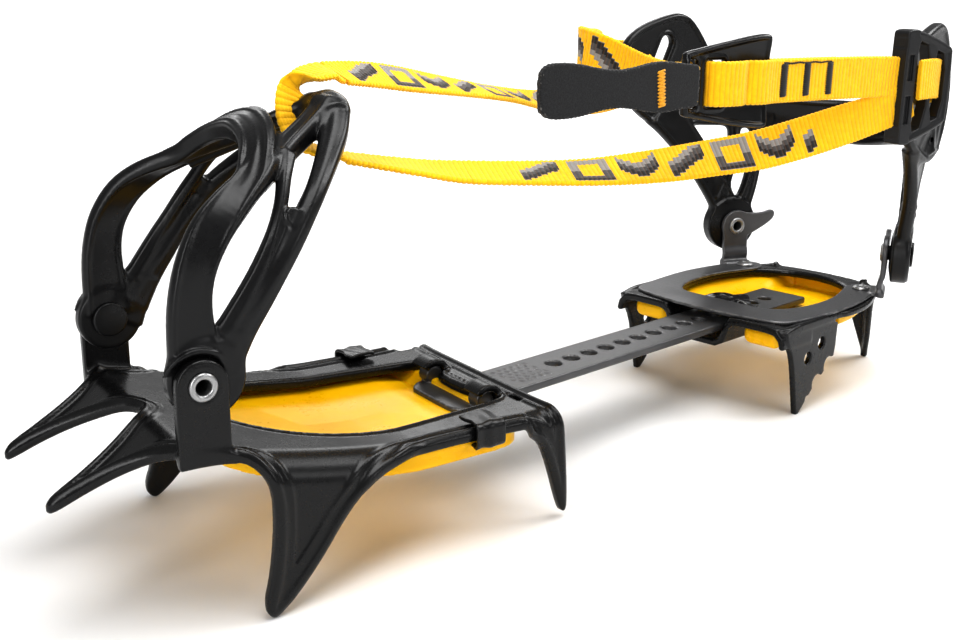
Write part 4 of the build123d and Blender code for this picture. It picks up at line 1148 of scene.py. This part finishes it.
def buckle_field(p):
    q = unplaced(p, BUCKLE, BUCKLE_TURN)
    x, y, z = q[:, 0], q[:, 1], q[:, 2]
    edge = polygon(x, z, BUCKLE_OUTLINE)
    bow = 0.55 - 1.1 * ease(np.abs(z), 6.5, 13.5) * ease(x, -8, 2) + 0.35 * ease(x, -6, 8)

    def slit(a, b, h):
        return np.hypot(np.maximum(np.maximum(a + 0.8 - x, x - b + 0.8), 0),
                        np.maximum(np.abs(z) - h + 0.8, 0)) - 0.8
    windows = np.minimum(slit(-14.2, -11.3, 6.9), slit(-8.2, -1.2, 6.6))
    half = 0.75 + 0.7 * bump((-edge - 0.9) / 1.1) + 0.3 * bump((windows - 0.9) / 0.9) * (x < 3)
    return plate(np.maximum(edge, -windows), np.abs(y - bow) - half, 0.45)


def make_buckle(material):
    obj = solid_at("strap_buckle_pressed", buckle_field, (-17, -3, -14.5), (17.5, 3, 14.5), 0.3, material,
                   BUCKLE, BUCKLE_TURN)
    belong(obj, "buckle", "strap_buckle")


TAB_TOP = [(-13.6, 4.6), (-14.2, 5.8), (-19, 6.2), (-25, 7.0), (-30, 6.8), (-36, 5.6), (-42, 4.9),
           (-48, 5.6), (-54, 6.9), (-60, 7.4), (-64.4, 7.0), (-66.6, 4.6)]
TAB_OUTLINE = rounded(TAB_TOP + under(TAB_TOP), 1)


def tab_field(p):
    q = unplaced(p, BUCKLE, BUCKLE_TURN)
    x, y, z = q[:, 0], q[:, 1], q[:, 2]
    rough = 0.1 * np.sin(x * 5.1 + z * 2.0) + 0.08 * np.sin(x * 9.7) * np.cos(z * 7.3)
    lay = -3.1 + 0.0011 * (x + 30) ** 2 * (x < -30)
    return plate(polygon(x, z, TAB_OUTLINE) + rough, np.abs(y - lay) - 1.05, 0.3)


def make_tab(leather, webbing, thread):
    obj = solid_at("pull_tab_cut", tab_field, (-68, -5, -8.5), (-13, 0.5, 8.5), 0.34, leather, BUCKLE,
                   BUCKLE_TURN)
    belong(obj, "tab", "pull_tab")
    path = [(-29, -1.3, 0), (-22, -1.2, 0), (-16.4, -1.6, 0), (-12.9, -1.8, 0), (-11.9, -0.4, 0),
            (-12.4, 1.6, 0), (-15, 2.2, 0), (-21, 0.4, 0), (-29, -0.2, 0)]
    objs, s, c = ribbon("tab_webbing", placed(path, BUCKLE, BUCKLE_TURN), webbing,
                        width=[10.6] * 3, thick=1.0)
    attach(objs[0], "tab")
    bar = [(-27.4 - 0.08 * z, -4.25, z) for z in np.linspace(4.6, -5.2, 22)]
    stitches("tab_bartack", bar, 1.25, thread, "tab", 0.34)


SLIDER_TOP = [(-12.6, 17.0), (-11.6, 18.2), (-7.4, 18.4), (0, 16.6), (11.0, 12.8), (12.6, 11.0)]
SLIDER_OUTLINE = rounded(SLIDER_TOP + under(SLIDER_TOP), 1)


def slider_field(p):
    q = unplaced(p, SLIDER, SLIDER_TURN)
    x, y, z = q[:, 0], q[:, 1], q[:, 2]
    edge = polygon(x, z, SLIDER_OUTLINE)
    front = polygon(x, z, rounded([(-6.4, 15.0), (1.2, 12.8), (1.2, -12.8), (-6.4, -15.0)], 1))
    rear = polygon(x, z, rounded([(3.2, 12.0), (9.6, 9.8), (9.6, -9.8), (3.2, -12.0)], 1))
    half = np.where(x < -6.8, 3.0, 2.1 + 0.4 * bump((-edge - 1.2) / 1.2))
    body = plate(np.maximum(edge, -np.minimum(front, rear)), np.abs(y) - half, 0.5)
    for z0, z1 in ((10.4, 2.2), (-2.6, -11.6)):
        pocket = np.maximum(np.abs(x + 9.7) - 1.35, np.abs(z - (z0 + z1) / 2) - (z0 - z1) / 2)
        body = np.maximum(body, -np.maximum(pocket, y + 2.0))
    groove = np.maximum(np.abs(x + 12.9) - 0.6, np.abs(np.abs(z) - 14.2) - 1.6)
    return np.maximum(body, -groove)


def make_slider(material):
    obj = solid_at("strap_slider_moulded", slider_field, (-13, -3.5, -19), (13, 3.5, 19), 0.34, material,
                   SLIDER, SLIDER_TURN)
    belong(obj, "slider", "strap_slider")


# ---- materials ----
class Graph:
    "a small helper that adds and links shader nodes"

    def __init__(self, name):
        self.material = bpy.data.materials.new(name)
        self.material.use_nodes = True
        self.tree = self.material.node_tree
        self.shader = self.tree.nodes["Principled BSDF"]
        self.place = self.add("ShaderNodeTexCoord").outputs["Object"]

    def add(self, kind, **inputs):
        node = self.tree.nodes.new(kind)
        for key, value in inputs.items():
            self.set(node, key.replace("_", " "), value)
        return node

    def set(self, node, key, value):
        if isinstance(value, bpy.types.NodeSocket):
            self.tree.links.new(value, node.inputs[key])
        else:
            node.inputs[key].default_value = value

    def noise(self, scale, detail=3.0, rough=0.55):
        node = self.add("ShaderNodeTexNoise", Scale=scale, Detail=detail, Roughness=rough)
        self.tree.links.new(self.place, node.inputs["Vector"])
        return node.outputs["Fac"]

    def remap(self, value, a, b, c, d):
        node = self.add("ShaderNodeMapRange", Value=value, From_Min=a, From_Max=b, To_Min=c, To_Max=d)
        return node.outputs["Result"]

    def mix(self, factor, a, b):
        node = self.tree.nodes.new("ShaderNodeMix")
        node.data_type = "RGBA"
        for index, value in ((0, factor), (6, a), (7, b)):
            self.set(node, index, value)
        return node.outputs[2]

    def maths(self, operation, a, b):
        node = self.tree.nodes.new("ShaderNodeMath")
        node.operation = operation
        for index, value in enumerate((a, b)):
            self.set(node, index, value)
        return node.outputs[0]

    def attribute(self, name):
        node = self.tree.nodes.new("ShaderNodeAttribute")
        node.attribute_name = name
        return node.outputs["Fac"]

    def bump(self, height, strength, distance):
        node = self.add("ShaderNodeBump", Strength=strength, Distance=distance, Height=height)
        self.tree.links.new(node.outputs["Normal"], self.shader.inputs["Normal"])

    def finish(self, color, rough, **constants):
        self.set(self.shader, "Base Color", color)
        self.set(self.shader, "Roughness", rough)
        for key, value in constants.items():
            self.set(self.shader, key.replace("_", " "), value)
        return self.material


def tone(r, g, b):
    return (r, g, b, 1.0)


def coated_metal(name, base, worn, rough, metallic, grain=900.0, wear_amount=1.0, bump_mm=0.03, **constants):
    "paint or oxide over metal, rubbed brighter on edges"
    g = Graph(name)
    broad, fine = g.noise(60.0), g.noise(grain, 4.0)
    rub = g.maths("MULTIPLY", g.attribute("wear"), g.remap(g.noise(260.0), 0.38, 0.62, 0.15, wear_amount))
    color = g.mix(g.remap(broad, 0.3, 0.7, 0.0, 1.0), base, tone(*[v * 1.35 for v in base[:3]]))
    color = g.mix(rub, color, worn)
    shine = g.maths("ADD", g.remap(broad, 0.3, 0.7, rough - 0.03, rough + 0.04),
                    g.remap(fine, 0.3, 0.7, -0.025, 0.025))
    g.bump(fine, 0.35, bump_mm * MM)
    return g.finish(color, shine, Metallic=metallic, **constants)


def plastic(name, base, rough, scuff, grain=700.0, bump_mm=0.03, **constants):
    "moulded plastic, scuffed paler on edges"
    g = Graph(name)
    broad, fine = g.noise(45.0), g.noise(grain, 4.0)
    pale = tone(*[min(1.0, v * 1.18 + 0.002) for v in base[:3]])
    scuffed = tone(*[min(1.0, v * 2.2 + 0.05) for v in base[:3]])
    color = g.mix(g.remap(broad, 0.3, 0.7, 0.0, 1.0), base, pale)
    rub = g.maths("MULTIPLY", g.attribute("wear"), g.remap(g.noise(300.0), 0.4, 0.65, 0.0, scuff))
    color = g.mix(rub, color, scuffed)
    shine = g.maths("ADD", g.remap(broad, 0.3, 0.7, rough - 0.05, rough + 0.05),
                    g.remap(fine, 0.3, 0.7, -0.04, 0.04))
    g.bump(fine, 0.3, bump_mm * MM)
    return g.finish(color, shine, **constants)


def webbing_material():
    g = Graph("webbing_yellow")
    code = g.attribute("motif")
    yellow = g.mix(g.remap(g.noise(500.0), 0.3, 0.7, 0, 1), tone(0.88, 0.49, 0.001), tone(0.96, 0.57, 0.002))
    color = g.mix(g.maths("GREATER_THAN", code, 0.5), yellow, tone(0.30, 0.29, 0.28))
    color = g.mix(g.maths("GREATER_THAN", code, 1.5), color, tone(0.09, 0.085, 0.085))
    color = g.mix(g.maths("GREATER_THAN", code, 2.5), color, tone(0.022, 0.02, 0.02))
    # painted shade: the colour darkens towards brown orange in the grooves between the ribs
    run = g.attribute("run")
    groove = g.maths("ABSOLUTE", g.maths("SINE", g.maths("MULTIPLY", run, math.pi / RIB), 0.0), 0.0)
    color = g.mix(g.remap(groove, 0.0, 0.6, 0.22, 0.0), color, tone(0.30, 0.11, 0.004))
    g.bump(g.noise(2600.0, 5.0), 0.6, 0.12 * MM)
    return g.finish(color, g.remap(g.noise(900.0), 0.3, 0.7, 0.62, 0.8), Sheen_Weight=0.25,
                    Sheen_Roughness=0.5, Specular_IOR_Level=0.3)


def thread_material(name, color):
    g = Graph(name)
    g.bump(g.noise(4000.0), 0.6, 0.1 * MM)
    return g.finish(g.mix(g.noise(1500.0), color, tone(*[v * 0.6 for v in color[:3]])), 0.7, Sheen_Weight=0.2)


def leather_material():
    g = Graph("tab_leather_grey")
    fine = g.noise(2200.0, 6.0, 0.7)
    color = g.mix(g.remap(fine, 0.35, 0.65, 0, 1), tone(0.009, 0.009, 0.0095), tone(0.022, 0.022, 0.0235))
    fray = g.maths("MULTIPLY", g.attribute("wear"), g.remap(g.noise(1800.0, 4.0), 0.56, 0.66, 0.0, 0.9))
    color = g.mix(fray, color, tone(0.45, 0.43, 0.4))
    g.bump(fine, 0.7, 0.15 * MM)
    return g.finish(color, 0.85, Sheen_Weight=0.15)


# ---- stage, light and camera ----
def make_stage():
    bpy.ops.mesh.primitive_plane_add(size=400.0, location=(0, 0, 0))
    floor = bpy.context.object
    floor.name = "studio_floor"
    g = Graph("floor_pale")
    far = g.tree.nodes.new("ShaderNodeVectorMath")
    far.operation = "LENGTH"
    g.tree.links.new(g.place, far.inputs[0])
    glow = g.remap(far.outputs["Value"], 0.35, 1.3, 0.0, 0.75)
    color = g.mix(g.noise(3.0), tone(0.80, 0.80, 0.80), tone(0.83, 0.83, 0.83))
    floor.data.materials.append(g.finish(color, 1.0, Specular_IOR_Level=0.0, Emission_Color=tone(1, 1, 1),
                                         Emission_Strength=glow))


def area_light(name, place, target, size, power):
    data = bpy.data.lights.new(name, "AREA")
    data.shape, data.size, data.size_y = "RECTANGLE", size[0], size[1]
    data.energy = power
    obj = bpy.data.objects.new(name, data)
    bpy.context.scene.collection.objects.link(obj)
    obj.location = place
    obj.rotation_euler = (Vector(target) - Vector(place)).to_track_quat("-Z", "Y").to_euler()


def make_light():
    world = bpy.data.worlds.new("studio")
    bpy.context.scene.world = world
    world.use_nodes = True
    world.node_tree.nodes["Background"].inputs["Color"].default_value = (1, 1, 1, 1)
    world.node_tree.nodes["Background"].inputs["Strength"].default_value = 0.40
    view = bpy.context.scene.view_settings
    view.view_transform, view.exposure, view.gamma = "Standard", 0.22, 0.78
    area_light("softbox_top", (0.05, -0.1, 0.9), (0, 0, 0.04), (0.7, 0.5), 5.6)
    area_light("softbox_left", (-0.8, -0.25, 0.45), (-0.1, 0, 0.05), (0.22, 0.8), 3.6)
    area_light("softbox_front", (0.25, -0.95, 0.5), (0, 0, 0.05), (0.35, 0.3), 1.2)
    area_light("softbox_heel", (0.55, -0.25, 0.62), (-0.12, -0.03, 0.03), (0.45, 0.3), 3.0)
    area_light("strip_rear", (0.5, 0.8, 0.5), (0.05, 0, 0.06), (0.9, 0.2), 2.0)


def make_camera():
    "the view's axes and place are in the working frame"
    right, down, ahead = [(0.71898, -0.69494, 0.01138), (-0.18483, -0.20695, -0.96073),
                          (0.67, 0.68865, -0.27724)]
    data = bpy.data.cameras.new("camera")
    data.sensor_width, data.lens = 36.0, 44.63
    data.clip_start, data.clip_end = 0.01, 250.0
    cam = bpy.data.objects.new("camera", data)
    bpy.context.scene.collection.objects.link(cam)
    place = (np.array([-236.48, -253.04, 120.88]) + HOME) * MM
    rot = Matrix([[right[i], -down[i], -ahead[i]] for i in range(3)]).to_4x4()
    cam.matrix_world = Matrix.Translation(Vector(place)) @ rot
    bpy.context.scene.camera = cam


def build():
    forged = coated_metal("forged_black", tone(0.004, 0.004, 0.0042), tone(0.05, 0.05, 0.053), 0.26, 0.0,
                          grain=500.0, wear_amount=0.45, bump_mm=0.003, Specular_IOR_Level=0.4)
    bar = coated_metal("bar_grey", tone(0.088, 0.088, 0.09), tone(0.5, 0.5, 0.5), 0.36, 0.55)
    cover = coated_metal("cover_grey", tone(0.085, 0.085, 0.088), tone(0.45, 0.45, 0.45), 0.32, 0.5,
                         bump_mm=0.012)
    silver = coated_metal("rivet_silver", tone(0.30, 0.30, 0.30), tone(0.6, 0.6, 0.6), 0.3, 0.85,
                          grain=600.0, wear_amount=0.6, bump_mm=0.08)
    cage = plastic("cage_black", tone(0.0045, 0.0045, 0.005), 0.31, 0.12, Specular_IOR_Level=0.38)
    yellow = plastic("snow_plate_yellow", tone(0.90, 0.50, 0.001), 0.32, 0.0, grain=400.0, bump_mm=0.004,
                     Specular_IOR_Level=0.25, Subsurface_Weight=0.1, Subsurface_Scale=0.004)
    buckle = coated_metal("buckle_black", tone(0.004, 0.004, 0.0045), tone(0.3, 0.3, 0.3), 0.22, 0.0,
                          Specular_IOR_Level=0.4)
    slider = plastic("slider_black", tone(0.010, 0.010, 0.011), 0.4, 0.15, Specular_IOR_Level=0.4)
    webbing = webbing_material()
    make_front_frame(forged)
    make_snow_front(yellow)
    make_clips(forged)
    make_toe_cage(cage)
    make_bar(bar)
    make_heel_frame(forged)
    make_cover(cover)
    make_snow_heel(yellow)
    make_latch(buckle)
    make_heel_cage(cage)
    make_rivets(silver, cage)
    make_strands(webbing)
    make_ankle_strap(webbing)
    make_buckle_strap(webbing, thread_material("thread_dark", tone(0.02, 0.018, 0.018)))
    make_buckle(buckle)
    make_tab(leather_material(), webbing, thread_material("thread_yellow", tone(0.9, 0.45, 0.02)))
    make_slider(slider)


build()
make_stage()
make_light()
make_camera()
